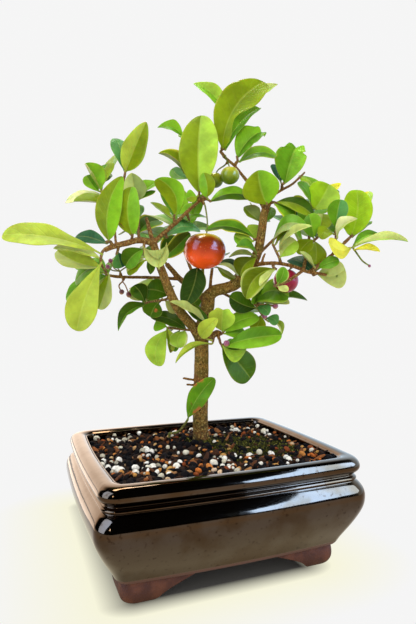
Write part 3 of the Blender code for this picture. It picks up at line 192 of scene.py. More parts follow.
def loftRings(rings):
    count = len(rings[0])
    points = [point for ring in rings for point in ring]
    faces = [list(range(count))[::-1]]
    for low in range(0, (len(rings) - 1) * count, count):
        for step in range(count):
            after = (step + 1) % count
            faces.append([low + step, low + after, low + count + after, low + count + step])
    faces.append(list(range((len(rings) - 1) * count, len(rings) * count)))
    return points, faces


# Nodes for materials, for the sky and for geometry

class Wire:
    def __init__(self, kit, socket):
        self.kit = kit
        self.socket = socket

    def maths(self, operation, first, second=0.0):
        return self.kit.node("ShaderNodeMath", {0: first, 1: second}, operation=operation)

    def __add__(self, other):
        return self.maths("ADD", self, other)

    def __sub__(self, other):
        return self.maths("SUBTRACT", self, other)

    def __mul__(self, other):
        return self.maths("MULTIPLY", self, other)

    def __rsub__(self, other):
        return self.maths("SUBTRACT", other, self)

    def __abs__(self):
        return self.maths("ABSOLUTE", self)

    def __mod__(self, other):
        return self.maths("FLOORED_MODULO", self, other)

    __radd__ = __add__
    __rmul__ = __mul__


def solid(colour):
    return colour if isinstance(colour, Wire) else (*colour, 1)


class NodeKit:
    def __init__(self, tree):
        self.tree = tree

    def node(self, kind, inputs, output=0, **settings):
        made = self.tree.nodes.new(kind)
        for key, value in settings.items():
            if key == "stops":
                ramp = made.color_ramp.elements
                while len(ramp) < len(value):
                    ramp.new(1.0)
                for stop, (place, colour) in zip(ramp, value):
                    stop.position = place
                    stop.color = solid(colour)
            else:
                setattr(made, key, value)
        for key, value in inputs.items():
            if isinstance(value, Wire):
                self.tree.links.new(value.socket, made.inputs[key])
            else:
                made.inputs[key].default_value = value
        return Wire(self, made.outputs[output])

    def vector(self, operation, inputs, output=0):
        return self.node("ShaderNodeVectorMath", inputs, output, operation=operation)

    def scaled(self, vector, share):
        return self.vector("SCALE", {0: vector, "Scale": share})

    def axis(self, vector, number):
        return self.node("ShaderNodeSeparateXYZ", {0: vector}, number)

    def step(self, value, low, high):
        return self.node("ShaderNodeMapRange", {"Value": value, "From Min": low, "From Max": high},
                         interpolation_type="SMOOTHSTEP")

    def mix(self, share, first, second):
        return self.node("ShaderNodeMix", {0: share, 6: solid(first), 7: solid(second)}, 2, data_type="RGBA")

    def places(self, kind="Object"):
        return self.node("ShaderNodeTexCoord", {}, kind)


class Paint(NodeKit):
    def __init__(self, name, constants):
        self.material = bpy.data.materials.new(name)
        self.material.use_nodes = True
        super().__init__(self.material.node_tree)
        self.shader = self.tree.nodes["Principled BSDF"]
        for socket, value in constants.items():
            self.shader.inputs[socket].default_value = value

    def speckle(self, scale, detail=2.0, roughness=0.5, stretch=None):
        places = self.places()
        if stretch:
            places = self.node("ShaderNodeMapping", {"Vector": places, "Scale": stretch})
        return self.node("ShaderNodeTexNoise", {"Vector": places, "Scale": scale, "Detail": detail,
                                                "Roughness": roughness})

    def pattern(self, grain, band):
        return self.step(self.speckle(*grain), *band)

    def cells(self, scale):
        return self.node("ShaderNodeTexVoronoi", {"Vector": self.places(), "Scale": scale})

    def tint(self, share=1.0):
        tint = self.node("ShaderNodeAttribute", {}, "Color", attribute_name="tint")
        return tint if share == 1.0 else self.scaled(tint, share)

    def value(self, name):
        return self.node("ShaderNodeAttribute", {}, "Fac", attribute_name=name)

    def ramp(self, share, stops):
        return self.node("ShaderNodeValToRGB", {0: share}, stops=stops)

    def bump(self, height, strength, distance):
        return self.node("ShaderNodeBump", {"Height": height, "Strength": strength, "Distance": distance * mm})

    def feed(self, **links):
        names = {"colour": "Base Color", "roughness": "Roughness", "metal": "Metallic", "normal": "Normal",
                 "glow": "Emission Color"}
        for key, wire in links.items():
            self.tree.links.new(wire.socket, self.shader.inputs[names[key]])
        return self.material


class GeometryKit(NodeKit):
    def __init__(self, name, inputs):
        super().__init__(bpy.data.node_groups.new(name, "GeometryNodeTree"))
        sockets = self.tree.interface
        sockets.new_socket("Geometry", in_out="INPUT", socket_type="NodeSocketGeometry")
        sockets.new_socket("Geometry", in_out="OUTPUT", socket_type="NodeSocketGeometry")
        self.keys = {}
        for label, kind in inputs.items():
            made = sockets.new_socket(label, in_out="INPUT", socket_type="NodeSocket" + kind)
            self.keys[label] = made.identifier

    def given(self, label="Geometry"):
        return self.node("NodeGroupInput", {}, label)

    def attribute(self, name):
        return self.node("GeometryNodeInputNamedAttribute", {0: name}, data_type="FLOAT")

    def random(self, kind, low, high, seed):
        first, output = {"FLOAT": (2, 1), "FLOAT_VECTOR": (0, 0)}[kind]
        return self.node("FunctionNodeRandomValue", {first: low, first + 1: high, "Seed": seed}, output,
                         data_type=kind)

    def xyz(self, x, y, z):
        return self.node("ShaderNodeCombineXYZ", {0: x, 1: y, 2: z})

    def pushOut(self, geometry, scale, amount):
        lumps = self.node("ShaderNodeTexNoise", {"Scale": scale, "Detail": 3.0})
        offset = self.scaled(self.node("GeometryNodeInputNormal", {}), (lumps - 0.5) * amount)
        return self.node("GeometryNodeSetPosition", {0: geometry, 3: offset})

    def finish(self, geometry):
        smooth = self.node("GeometryNodeSetShadeSmooth", {0: geometry})
        real = self.node("GeometryNodeRealizeInstances", {0: smooth})
        painted = self.node("GeometryNodeSetMaterial", {0: real, 2: self.given("Material")})
        output = self.tree.nodes.new("NodeGroupOutput")
        self.tree.links.new(painted.socket, output.inputs[0])

    def growOn(self, owner, values):
        modifier = owner.modifiers.new(self.tree.name, "NODES")
        modifier.node_group = self.tree
        for label, value in values.items():
            modifier[self.keys[label]] = value
        return modifier


# Plant

leafKinds = {  # fold of each half, arch, how blunt, where widest, notch in the tip
    "round": (0, 0.05, 0.6, 1.3, 0),
    "oval": (0, 0.05, 0.72, 1.08, 0),
    "point": (18, 0.07, 0.95, 1.1, 0),
    "notch": (12, 0.04, 0.55, 1.35, 0.09),
    "folded": (36, 0.06, 0.8, 1.1, 0),
    "cup": (30, -0.12, 0.62, 1.45, 0.4),
}
Leaf = namedtuple("Leaf", "base tip width turn bow tones kind", defaults=(18, 50, 0, "green", "round"))

# Twigs, each with its two radii and its places (across, up, toward) from root to end
woodPaths = {
    "trunk": (5.0, 4.2, ((-1.1, 66.5, -14), (-1.5, 80, -14), (-1.3, 94, -14), (-1, 110, -13),
        (-0.8, 124, -12), (-0.7, 137, -11), (0.8, 147, -10.5), (3.1, 156, -10), (3.6, 164.5, -9))),
    "left": (3.4, 2.0, ((-1, 133, -11), (-5.5, 141.5, -9), (-10.5, 147, -6), (-17.3, 156, 0),
        (-22.8, 168, 5), (-26.6, 178, 8), (-30.2, 188, 10), (-33, 199, 12))),
    "left_outer": (1.9, 1.2, ((-32.6, 197.5, 12), (-41.4, 199.5, 15), (-49.7, 197.7, 19), (-60, 195, 23),
        (-65, 192.6, 25))),
    "left_stub": (1.7, 1.2, ((-33, 198, 12), (-35.2, 206, 11), (-37.3, 214.4, 10))),
    "left_inner": (1.7, 1.0, ((-32.2, 198, 12), (-29.5, 201, 11), (-17.3, 211.6, 8), (-10.9, 218, 6),
        (-3, 225, 5), (2, 230.7, 3))),
    "left_upright": (0.95, 0.75, ((-57.3, 196, 22), (-58, 205, 17), (-58.5, 214, 13), (-57.5, 221, 11),
        (-54.5, 232, 9), (-52.3, 240, 8))),
    "rear": (2.0, 1.3, ((2.2, 160, -10), (-8, 168.5, -17), (-15, 174, -20), (-20, 179.5, -21),
        (-24, 184, -22))),
    "bud_twig": (1.3, 1.0, ((-15, 174, -20), (-30, 175, -17), (-46, 175.2, -12), (-56, 175.4, -8.7),
        (-61.5, 176.3, -6.5))),
    "right": (3.9, 2.0, ((3, 162.5, -9), (8, 166.4, -7), (16.3, 168.5, -4), (23.4, 172, 0), (31, 181, 4),
        (36.3, 193, 6), (38.7, 206, 6), (40.2, 217, 6), (43.5, 227, 7))),
    "right_top": (1.3, 0.8, ((43, 225.5, 7), (46, 229.3, 8), (52, 233, 9), (59, 237, 7), (67, 244.6, 3))),
    "right_spur": (0.95, 0.7, ((43.3, 226, 7), (44.3, 235, 8), (44.8, 241.6, 8))),
    "crown": (1.3, 1.0, ((40.6, 219, 6), (34, 232, 3), (27, 241, 1), (20.6, 248.7, 0), (14.5, 254, 0),
        (12, 257.5, 1))),
    "right_low": (1.5, 1.0, ((32, 182.5, 4.5), (38, 184, 9), (48.7, 184.5, 14), (60, 182.3, 18),
        (68.7, 178.8, 21), (75.5, 177.9, 22.5), (81.5, 176.6, 24))),
    "right_low_spur": (0.95, 0.8, ((38.5, 184.2, 9.4), (39.8, 188.5, 10), (41, 191, 10))),
    "fruit_twig": (1.2, 0.95, ((66, 179.9, 20.2), (58, 174, 26), (54, 172, 28.5), (50, 170, 31))),
    "right_outer": (1.3, 1.0, ((70, 178.6, 21.3), (79, 185.5, 20), (85.5, 190.5, 19), (93, 198, 17),
        (95.8, 200.7, 16))),
    "right_rear": (1.2, 0.95, ((66, 180.3, 19.9), (68, 190, 15), (70, 203, 10), (71, 214, 8),
        (71.5, 219, 8))),
    "low_fan": (1.2, 0.95, ((10, 166.7, -7), (18, 162.5, -14), (27, 160, -12), (32, 158.3, -6))),
    "low_right": (2.0, 1.5, ((-1, 138, -11), (5, 136.5, -4), (9, 138.5, 2), (11.5, 138, 4))),
    "behind_cherry": (1.3, 1.0, ((4.3, 164, -9), (5.2, 174, -8), (6, 181, -7))),
    "back_left": (1.7, 1.0, ((1.5, 158, -11), (-4, 171, -30), (-10, 186, -44), (-15, 200, -54))),
    "back_right": (1.7, 1.0, ((16.3, 168.5, -5), (25, 180, -22), (40, 194, -38), (52, 206, -47))),
    "dead_left_high": (1.0, 0.9, ((-1, 107.2, -13), (-8, 108, -11), (-13, 109, -9))),
    "dead_left_low": (1.0, 0.85, ((-1, 104, -13), (-10.8, 104.7, -10))),
    "dead_right": (1.0, 0.9, ((-1, 106.5, -13), (8.4, 108, -12))),
}

# Sprays: the stub on the wood, the twigs from it, and the leaves with base, tip, width, turn,
# sideways bow, tones (upper or left half / other half / edge) and kind
# The two halves' tones are partly the leaves' own colour and partly painted light and shade, copying how lit
# each half is
sprays = {
    "left_tip": (((-60, 195, 23), (-65, 192.6, 25)), (((-67, 189, 26), (-67, 184, 25), (-63.5, 178, 19)),), (
        ((-66, 190, 27), (-132, 202.8, 36), 21, 40, 2.2, "straw"),
        ((-67, 187, 24), (-98.5, 193.8, 26), 12, 55, -0.5, "pale/straw", "point"),
        ((-67, 181.5, 22), (-96, 192.3, 18), 16, 35, -4, "straw/pale", "point"),
        ((-66.8, 184.5, 28), (-83, 139.5, 38), 22, 12, 1, "straw"),
        ((-66.5, 178, 18), (-90, 160.3, 12), 13, 40, 1, "green/bright"),
        ((-61.8, 176.8, 18), (-68.5, 154, 15), 15, 30, -1.5, "olive/pale"),
        ((-66.5, 184, 21), (-84, 172, 0), 20, 50, 1))),
    "left_upper_tip": (((-59, 195.3, 22.6), (-60.8, 198, 26)), (((-62, 198.5, 27.5),),), (
        ((-63.2, 197, 25), (-83.5, 202, 12), 12, 30, 0.5, "teal"),
        ((-62.4, 199.5, 28.5), (-53.5, 241.5, 30), 15.5, -25, 5, "olive/bright"))),
    "upper_left": (((-54.5, 232, 9), (-52.3, 240, 8)), (((-51.5, 243.6, 8),),), (
        ((-51, 245, 9), (-38.3, 276.7, 14), 16.5, -35, 3.5, "straw/olive/lime"),
        ((-52, 245.3, 6), (-57.5, 266.5, -3), 13, 30, 0.5, "blue"),
        ((-51.3, 245.5, 6), (-43.5, 268, -22), 19, 35),
        ((-51, 244.5, 6.5), (-49, 258, 26), 15, 40, 0, "olive"))),
    "left_mid": (((-58.5, 214, 13), (-60.7, 218, 9.5)), (((-64, 227, 7), (-67, 231.3, 6), (-66.5, 237, 0)),), (
        ((-67.3, 232.7, 7.5), (-78, 250, 12), 12, 60, -1.5, "bright/straw", "folded"),
        ((-67, 234, 4.5), (-62.5, 249.8, -6), 17, 25, 1, "green/olive"),
        ((-66, 240, -2), (-58.5, 255.6, -14), 15, 38, -3, "olive/green"),
        ((-68.8, 231.5, 5), (-77, 242, 2), 11, 35, -1, "bright/green"),
        ((-62.3, 223.5, 5), (-85.3, 225, 8), 13, 58, -1, "olive", "point"),
        ((-64.5, 227, 4), (-90, 225.4, 0), 9, 35, 1.2, "cream"),
        ((-66.5, 237, -1), (-70, 246, -28), 18, 45),
        ((-62.5, 225, 5), (-60, 212, -18), 17, 40, 0, "green/dark"))),
    "left_upright": (((-47, 198.2, 17.7), (-46.8, 200.8, 20.7)), (((-46.6, 202.2, 22.3),),), (
        ((-46.5, 203, 23.5), (-47, 234.6, 28), 15.5, -22, -2.2, "olive/bright"),
        ((-48.5, 204, 21.5), (-58.3, 214.5, 22), 6, 40, 0, "brown", "point"))),
    "left_inner": (((-42, 199.3, 15.2), (-42.4, 203, 11.5)),
        (((-42.5, 212, 8), (-43.5, 222, 6), (-43.8, 227, 5)),), (
        ((-45, 224, 5.5), (-47.2, 243.8, 0), 17, 20, 0, "pale/grey", "point"),
        ((-42.8, 229, 4.5), (-30.5, 238, -4), 13, 35, -1, "bright", "point"),
        ((-43, 226.5, 5.5), (-31.5, 232, 3), 7, 40, -1.5, "green/green/yellow", "point"),
        ((-42.3, 204.5, 9.8), (-29, 212.5, 2), 16, 25, 1.5, "dark/green/yellow"),
        ((-43, 214, 7), (-52, 226, -16), 20),
        ((-42.8, 210, 8), (-50, 206, -18), 19, 45, 0, "green/olive"))),
    "left_hang": (((-38.5, 199, 14), (-38.8, 196.2, 17)), (((-38.3, 190, 17.5), (-37, 187, 17.5)),), (
        ((-39, 193.6, 17.6), (-51, 182, 17), 14, 12, 1.5, "dark/green"),
        ((-37.8, 186.3, 18), (-50, 178, 20), 12, 35, 0.5, "pale/olive"),
        ((-36.6, 186.3, 16.5), (-34.6, 177, 16), 7, 40, 0, "dark", "point"),
        ((-38.6, 190.5, 16.5), (-47, 186, -4)))),
    "left_drop": (((-55.6, 196.2, 21.3), (-56, 193.4, 18.8)), (((-56.2, 192.4, 18),),), (
        ((-56.2, 191.6, 17.5), (-53.4, 181.5, 16), 11, 25, -0.5, "blue/teal"),)),
    "mid_olive": (((-18.8, 210.3, 8.4), (-19, 213, 11.5)), (((-19, 214.2, 12.7),),), (
        ((-18.2, 214.6, 13.8), (-30, 240.3, 20), 17, -30, 6.5, "olive/bright"),
        ((-20.5, 214, 12), (-34.6, 224.4, 7), 12, 60, -1.5, "grey/olive", "point"))),
    "mid_blue": (((-25, 205, 9.8), (-24.4, 202.4, 6.2)), (((-24, 201.7, 4.3),),), (
        ((-24.5, 202, 3.3), (-2, 205.8, 0), 21, 56, 3.5, "blue", "oval"),
        ((-25.5, 201, 3), (-38, 206, -14)))),
    "mid_green": (((-10.9, 218, 6), (-10.1, 215.2, 2.6)), (((-9.6, 214, 1),),), (
        ((-9, 213.5, 0.3), (2.6, 214.5, -6), 9, 60, 1, "green", "oval"),
        ((-10, 212.5, 0), (-20, 216, -20), 17, 55))),
    "centre_top": (((-3, 225, 5), (-2.8, 228.2, 8.2)), (((-2.7, 229.5, 9.4),),), (
        ((-2.6, 230.8, 10.3), (-1.5, 281.8, 2), 27, -12, -0.5, "olive/lime", "oval"),
        ((-4.2, 228, 9.6), (-11, 227, 11), 10, 20, 0.5, "bright/olive", "oval"))),
    "centre_back": (((0, 228.2, 3.8), (2, 230.7, 3)),
        (((1.5, 233.5, -1.5), (-7, 240, -8), (-12, 252, -12), (-12.3, 265, -14)),), (
        ((2, 230.3, 0.5), (-6.5, 214.3, -1), 10, 25, 1, "bright", "oval"),
        ((-12, 243.5, -9), (-29.5, 256.9, -6), 14, 50, 1, "olive/olive/yellow", "folded"),
        ((-8.5, 240.5, -9), (-20, 247, -16), 11, 30, -3, "green/blue"),
        ((-12.8, 267, -14.5), (-30.2, 273.9, -16), 10, 25, 2.6, "bright/green", "point"),
        ((-12, 266.5, -15), (-4, 275, -36), 21),
        ((-11.5, 252, -13), (-1, 258, -38), 22, 50, 0, "green/olive"),
        ((-7, 240.5, -8.5), (2, 247, -30), 18, 50, 0, "green/dark"))),
    "centre_right": (((-0.6, 227.7, 4.5), (2.6, 226.5, 7.6)), (((3.6, 226, 8.7),),), (
        ((4.6, 225, 9.2), (34, 226.3, 4), 17, 45, 3.4, "bright/dark", "oval"),
        ((2.4, 228, 10.3), (0.2, 243.9, 12.5), 8, 25, 0.8, "bright/olive", "oval"))),
    "crown": (((14.5, 254, 0), (12, 257.5, 1)),
        (((12.3, 259, 1.5),), ((12.1, 260, 1.6), (14, 268, -4), (17, 279, -7), (22, 284, -9))), (
        ((12.6, 260.5, 3), (39.5, 304.2, 8), 21, 15, 5.8, "olive"),
        ((15.5, 281.5, -7.5), (-6.5, 303, -10), 13, 22, 2, "bright/lime", "point"),
        ((23.5, 285, -9), (48.9, 302.6, -12), 14, 40, -1.5, "pale/lime", "point"),
        ((14.5, 259, 0.5), (37.2, 286.8, -3), 15, 35, 2, "bright/green", "point"),
        ((17, 280, -9), (25, 296, -32), 21, 40),
        ((14, 269, -5), (16, 280, -30), 19, 50, 0, "green/bright"))),
    "crown_right": (((20.6, 248.7, 0), (22.2, 251.3, 2.6)), (((22.5, 252.8, 3.6),),), (
        ((22.6, 254, 4.5), (41.2, 273.2, 9), 19, 38, 2, "bright/green", "notch"),
        ((23.8, 251.3, 3.2), (52, 252.2, -5), 14, 38, 4.6, "bright/green/straw", "oval"))),
    "right_bitten": (((52, 233, 9), (51.9, 235.2, 12.3)), (((52.3, 236.4, 14.6),),), (
        ((54, 237.2, 15.2), (62.6, 264.8, 19), 21.5, 20, 0.5, "green/bright", "notch"),
        ((51.2, 237.8, 12.4), (47.5, 249.5, -3), 9, 20, -1, "teal"),
        ((53.2, 238, 12.6), (60, 255, -8), 15, 40))),
    "right_two_tone": (((41.5, 219.5, 6.3), (41.8, 221.3, 10)), (((41.9, 222.3, 11.2),),), (
        ((42, 223.2, 12.2), (36, 245.6, 16), 23.5, -15, -1, "olive/bright", "oval"),)),
    "right_mid": (((43, 224.3, 6.8), (46, 224.6, 9.8)), (((48, 224.3, 10.8),),), (
        ((48.8, 225, 11.6), (72.6, 215.6, 15), 17, 42, 2, "dark/olive", "oval"),
        ((47, 223.3, 11.3), (59, 213.4, 14), 13, 30, 1.5, "bright/green/yellow"),
        ((48.8, 223.2, 9.8), (62, 213.8, 6), 12, 35, 0.5, "blue/grey"))),
    "right_back": (((39, 208, 6), (38.5, 209.8, 1.8)), (((38.2, 211, 0),),), (
        ((37.5, 212, -0.6), (27, 221.7, -3), 14, 35, -1.5, "olive/grey", "point"),
        ((37.2, 209.5, -0.5), (31, 203, -4), 13, 25, -1, "lime"),
        ((39.6, 211.5, -0.6), (45.5, 221.3, -6), 10, 20, 0, "green", "oval"),
        ((38.5, 211.5, -1.5), (34, 219, -26), 19))),
    "right_inner": (((37.5, 199.3, 6.2), (34.6, 200, 8.7)), (((33.9, 200.2, 9.7),),), (
        ((33.5, 201.2, 10.3), (1.4, 206, 11), 18, 52, 3.4, "green/dark/yellow", "oval"),
        ((33.2, 198.8, 10.8), (20.3, 202, 15), 12, 30, -1, "lime/bright"))),
    "right_inner_low": (((34.3, 188, 5.2), (35.3, 188.5, 9.5)), (((35.6, 188.8, 10.7),),), (
        ((35.5, 190.4, 12), (21.8, 195.3, 17), 12, 50, 1, "green/olive", "point"),
        ((34.8, 188, 12), (24.5, 175.8, 11), 17, 38, 2, "moss/olive"),
        ((33.8, 189.4, 10.6), (17, 188.4, 5), 9, 60, 0.5, "pale/olive", "point"))),
    "under_cherry": (((5.2, 174, -8), (6, 181, -7)), (((4.8, 184, -4.5), (-2, 183.3, 2.5)),), (
        ((-3.7, 181.3, 4), (-11.8, 156.2, 9), 15, 25, -2, "deep"),
        ((0.5, 181, 1.5), (-1.5, 166.5, -1), 9, 30, 2, "pale/olive", "oval"),
        ((6.8, 182.8, -4.8), (24, 174.8, -4), 16, 60, 5, "deep/pale"),
        ((9.5, 182, -8.5), (22, 173.6, -10), 8, 50, -1.5, "pale/olive", "oval"),
        ((5.5, 184.3, -5.5), (12, 190, -26), 18, 50, 0, "dark"))),
    "left_cup": (((-27.5, 180, 8.2), (-28.7, 180.2, 12.2)), (((-29, 180.5, 20),),), (
        ((-29, 181.5, 21.4), (-31.5, 198.6, 25), 17, 0, 0, "pale", "cup"),)),
    "rear": (((-20, 179.5, -21), (-24, 184, -22)), (((-27, 188, -24), (-33, 195, -32)),), (
        ((-25.5, 188, -21), (-8.5, 204.2, -14), 15, 35, -1, "moss/green/yellow", "oval"),
        ((-27, 190, -23), (-17.5, 202.5, -28), 12, 20, 0, "dark/dark/yellow", "oval"),
        ((-32, 195.5, -31), (-44, 208, -48), 20),
        ((-28, 190.5, -27), (-42, 190, -38), 19, 50, 0, "green/olive"),
        ((-32, 196, -33), (-22, 206, -54), 20))),
    "bud_twig": (((-56, 175.4, -8.7), (-61.5, 176.3, -6.5)), (((-63, 176.8, -6),),), (
        ((-64, 177.5, -6.8), (-80, 184, -26), 19, 45),
        ((-63.5, 176, -7.5), (-76, 163.5, -24), 19, 45, 0, "green/olive"),
        ((-62.3, 177.3, -8), (-60, 187, -28), 17))),
    "left_low": (((-21, 164, 3.2), (-22.5, 162, -1.8)), (((-25, 160.5, -4), (-34, 159, -5), (-38, 158, -5)),), (
        ((-22.5, 163.5, -4.6), (-37.5, 167, -11), 16, 15, 1, "dark"),
        ((-27, 162.5, -6.5), (-46.5, 169, -18), 15, 45, 2.5, "olive/lime"),
        ((-37, 160, -6.5), (-48, 167, -13), 9, 20, -1, "pale"),
        ((-38.6, 159, -4), (-45.5, 169.8, -5), 12, 20, 1, "dark/deep"),
        ((-29.5, 158.6, -3), (-34.5, 149, 2), 13.5, 10, 0.5, "dark"),
        ((-33, 157, -6), (-55.6, 139.8, -4), 12, 45, 4.2, "dark/green", "point"),
        ((-24.5, 159.5, -5.5), (-16.5, 152.3, -9), 9, 10, 0.5, "pale", "oval"),
        ((-27.5, 159.5, -6.5), (-40, 157.5, -19), 15, 10, 0, "dark"),
        ((-30, 160, -6.5), (-24, 168, -27), 18, 45, 0, "dark"))),
    "low_left": (((-6, 141.5, -9), (-9, 140.7, -14)), (((-14, 141, -16.5), (-23, 142, -18)),), (
        ((-11, 141, -16.5), (-34.2, 149.9, -19), 15, 55, 1.5, "dark", "oval"),
        ((-23.2, 140.6, -18.7), (-29.5, 116.8, -12), 14.5, 12, 4, "lime"),
        ((-23.7, 141.3, -17), (-21.3, 125.5, -15), 6, 50, 0, "olive/straw", "point"),
        ((-15.5, 140, -17.3), (-19, 126.5, -19), 10, 30, 0.5, "green", "oval"),
        ((-12, 140, -15.8), (-15, 128.8, -10), 12, 35, 2.5, "lime/lime/cream", "oval"),
        ((-24, 142.7, -18.5), (-31.8, 144.5, -22), 10, 20, 0, "bright"),
        ((-18, 141.8, -18), (-24, 140, -40), 18, 50, 0, "dark"))),
    "crotch": (((1, 146.8, -10.2), (3.6, 145.8, -4)), (((3.9, 145.5, -2.9),),), (
        ((4.7, 145.2, -2.3), (-11.5, 156.4, -1), 12, 50, -1, "dark", "oval"),
        ((3, 144, -1.6), (-21.5, 158.9, 9), 10, 62, -0.5, "pale", "point"))),
    "crotch_back": (((1.5, 152, -10.2), (-3.3, 153, -15)), (((-4, 153.8, -16),),), (
        ((-4.6, 154.8, -16.5), (-5.5, 167.5, -22), 11, 20, -1, "green", "oval"),
        ((-4.6, 153.5, -17), (-9, 160, -40), 18, 50, 0, "dark"))),
    "right_hang": (((46, 184.4, 12.9), (46.3, 182.3, 16)), (((46.8, 181.5, 17.3),),), (
        ((46.3, 180.8, 18), (28.3, 161.3, 21), 17, 25, 4, "moss/olive/pale", "oval"),
        ((47.6, 180.6, 18.8), (37.5, 169.3, 25), 8, 60, -1, "pale", "point"))),
    "fruit_twig": (((54, 172, 28.5), (50, 170, 31)), (((48.8, 169.6, 31.8),),), (
        ((49.3, 170.9, 32.5), (53.5, 181.8, 34), 9, 25, -1, "green/green/pale", "oval"),
        ((50, 169, 32.6), (55.8, 165.8, 35), 6, 25, 0, "pale", "oval"))),
    "low_fan": (((27, 160, -12), (32, 158.3, -6)),
        (((34, 157.5, -3.5), (35.5, 156.5, -2), (38, 152, -3), (41.5, 147.5, -4)),
         ((34, 157.5, -3.5), (40, 157.2, -1), (46.3, 156.6, 1))), (
        ((34.5, 158.6, -1.5), (56.5, 162.6, 8), 24, 50, 5, "bright/green/lime"),
        ((36.5, 159, -3), (57, 158.2, 5), 11, 50, 1, "pale", "oval"),
        ((36.8, 159.8, -5), (68.6, 160.2, -8), 14, 58, 0.5, "dark", "point"),
        ((35.5, 155.5, -1.5), (43.5, 150.9, 3), 9, 25, 1.5, "blue"),
        ((42, 148.5, -3), (49, 144.7, 1), 8, 20, 1.5, "blue"),
        ((38, 150, -4), (33.8, 140.3, 0), 11, 25, -1, "olive"),
        ((43, 146.5, -4), (51.4, 136.5, -3), 8, 50, 3, "pale/olive", "point"),
        ((34.5, 155, -3.5), (17.5, 162.4, 2), 14, 15, -1.5, "dark/deep"),
        ((35, 158, -5), (36, 167, -24)),
        ((38.5, 152.5, -5), (30, 154, -26)))),
    "low_right_up": (((9, 138.5, 2), (11.5, 138, 4)), (((12.6, 138.3, 5.2),),), (
        ((12.2, 140.2, 7), (13.4, 156.2, 12), 18, 10, 0, "straw/lime", "notch"),
        ((13.8, 139.6, 4.8), (36.6, 149.4, -1), 15, 40, 1.5, "bright", "oval"),
        ((14.2, 138, 5.6), (28, 138.2, 0), 11, 35, 0, "green/bright"))),
    "low_right_front": (((8, 138, 0.2), (7.6, 137, 4.8)), (((7.3, 136.2, 6.2), (6.6, 132.5, 8.2)),), (
        ((6.4, 137.4, 8), (-6.4, 137.6, 13), 12, 25, 0.5, "straw"),
        ((6, 131.4, 9), (-17.9, 118.6, 16), 9, 55, 2.5, "straw/olive", "point"))),
    "low_right_down": (((9.3, 138.3, 2), (10.7, 134.8, 4.8)),
        (((11.5, 132, 8), (12.5, 130.5, 10)), ((12.5, 130.5, 10), (14.8, 131.4, 12.2))), (
        ((13.9, 129.6, 10.8), (51.9, 137, 24), 16.5, 38, 0.6, "green/bright"),
        ((13, 129.8, 12), (29.8, 130.8, 25), 13, 58, -8, "lime", "oval"),
        ((13, 128.5, 9.3), (31.4, 108.6, 5), 20, 25, 0.5, "dark"),
        ((12.8, 129.4, 8.5), (22, 124, -14)))),
    "right_upper": (((71, 214, 8), (71.5, 219, 8)), (((71.7, 221.5, 8), (72.5, 225, 8)),), (
        ((71.6, 226, 6.8), (65.5, 242.2, 0), 17, 28, 3, "fresh/bright"),
        ((70.8, 224, 9.5), (62.3, 237.8, 13), 13, 45, 1, "green/green/pale"),
        ((73.2, 220, 9.5), (83, 236.6, 14), 18, 22, -1, "fresh/lime"),
        ((73.8, 224.8, 7), (89, 232.5, 1), 13, 30, 0, "green", "point"),
        ((73.6, 226.4, 6.6), (90.8, 237.2, 8), 9, 40, -2, "yellow", "point"),
        ((72, 222, 6.6), (78, 226, -20), 20),
        ((71, 222, 6.4), (68, 213, -18), 18, 50, 0, "green/olive"))),
    "right_outer_mid": (((86, 191, 19), (86.7, 194, 22.4)), (((87.4, 200, 22.5), (87.3, 206.3, 21.5)),), (
        ((87.6, 208, 22.3), (90.5, 226.5, 26), 13.5, 22, 0.5, "green/blue"),
        ((88, 200.8, 24), (101.6, 213.8, 32), 12, 60, 2.5, "cream/pale", "point"),
        ((86.3, 203.8, 22), (76.8, 201, 25), 12, 40, 3, "olive"),
        ((87, 204, 20), (87.5, 213, 3), 12, 40))),
    "right_outer": (((93, 198, 17), (95.8, 200.7, 16)), (((97.2, 202, 15.3),),), (
        ((97.4, 202.4, 14.3), (101, 232.9, 15), 18.5, 22, -2.5, "fresh"),
        ((98.5, 203, 14), (109.4, 231.9, 2), 12, 35, 1.5, "yellow/lime"),
        ((98.3, 201.6, 14), (104, 211, -10), 19))),
    "right_tip": (((91, 196, 17.5), (94, 194.9, 20.6)),
        (((98.5, 194.9, 22.5),), ((98.5, 194.9, 22.5), (102, 190, 23), (105, 186, 24), (109, 183.2, 25))), (
        ((99.6, 195.8, 23.3), (134.9, 198.9, 31), 14, 60, 0.8, "pale/lime", "point"),
        ((99, 196.5, 21), (118.4, 202.4, 17), 12, 50, 2.5, "green/bright"),
        ((97, 193.8, 23.5), (82.7, 198.2, 30), 15, 30, -3.5, "yellow"),
        ((99.2, 193.4, 24), (116.5, 192.2, 34), 9, 50, 0, "yellow", "point"))),
    "right_low": (((71.5, 178.5, 21.6), (73.3, 180.2, 24.6)), (((74.4, 181, 25.6),),), (
        ((75.3, 181.4, 26.3), (89.6, 186.5, 33), 12, 48),
        ((73.5, 182, 26), (63.6, 192.1, 29), 9, 60, -1, "pale", "point"))),
    "right_under": (((72, 178.3, 21.8), (72.7, 177, 17.8)), (((73.8, 177.2, 16.4),),), (
        ((75, 177.5, 15.8), (93.4, 181, 11), 19, 15, -3.5, "pale"),
        ((72.6, 178.5, 15.5), (56.8, 187, 8), 15, 42, 1, "teal"),
        ((73.6, 178.5, 15.2), (79, 188, -6)))),
    "right_centre": (((69, 196.5, 12.6), (71.2, 198, 16.3)), (((73, 199.5, 17.3), (75.5, 201.5, 17.3)),), (
        ((76.2, 203, 17.5), (78.7, 217, 21), 15, 20, 0, "pale/olive"),
        ((74, 198.5, 18.3), (74.2, 183.8, 22), 15, 25, 0, "olive", "oval"),
        ((71.6, 200, 19), (62.7, 190.5, 25), 12, 30, 0.5, "olive", "oval"),
        ((72.6, 201.3, 16.3), (69.6, 216.6, 12.5), 15, 20, 0, "green/bright"),
        ((74.5, 201.5, 15.8), (81, 207, -4)))),
    "right_arc": (((51, 184.3, 14.9), (50.6, 186.6, 18.3)),
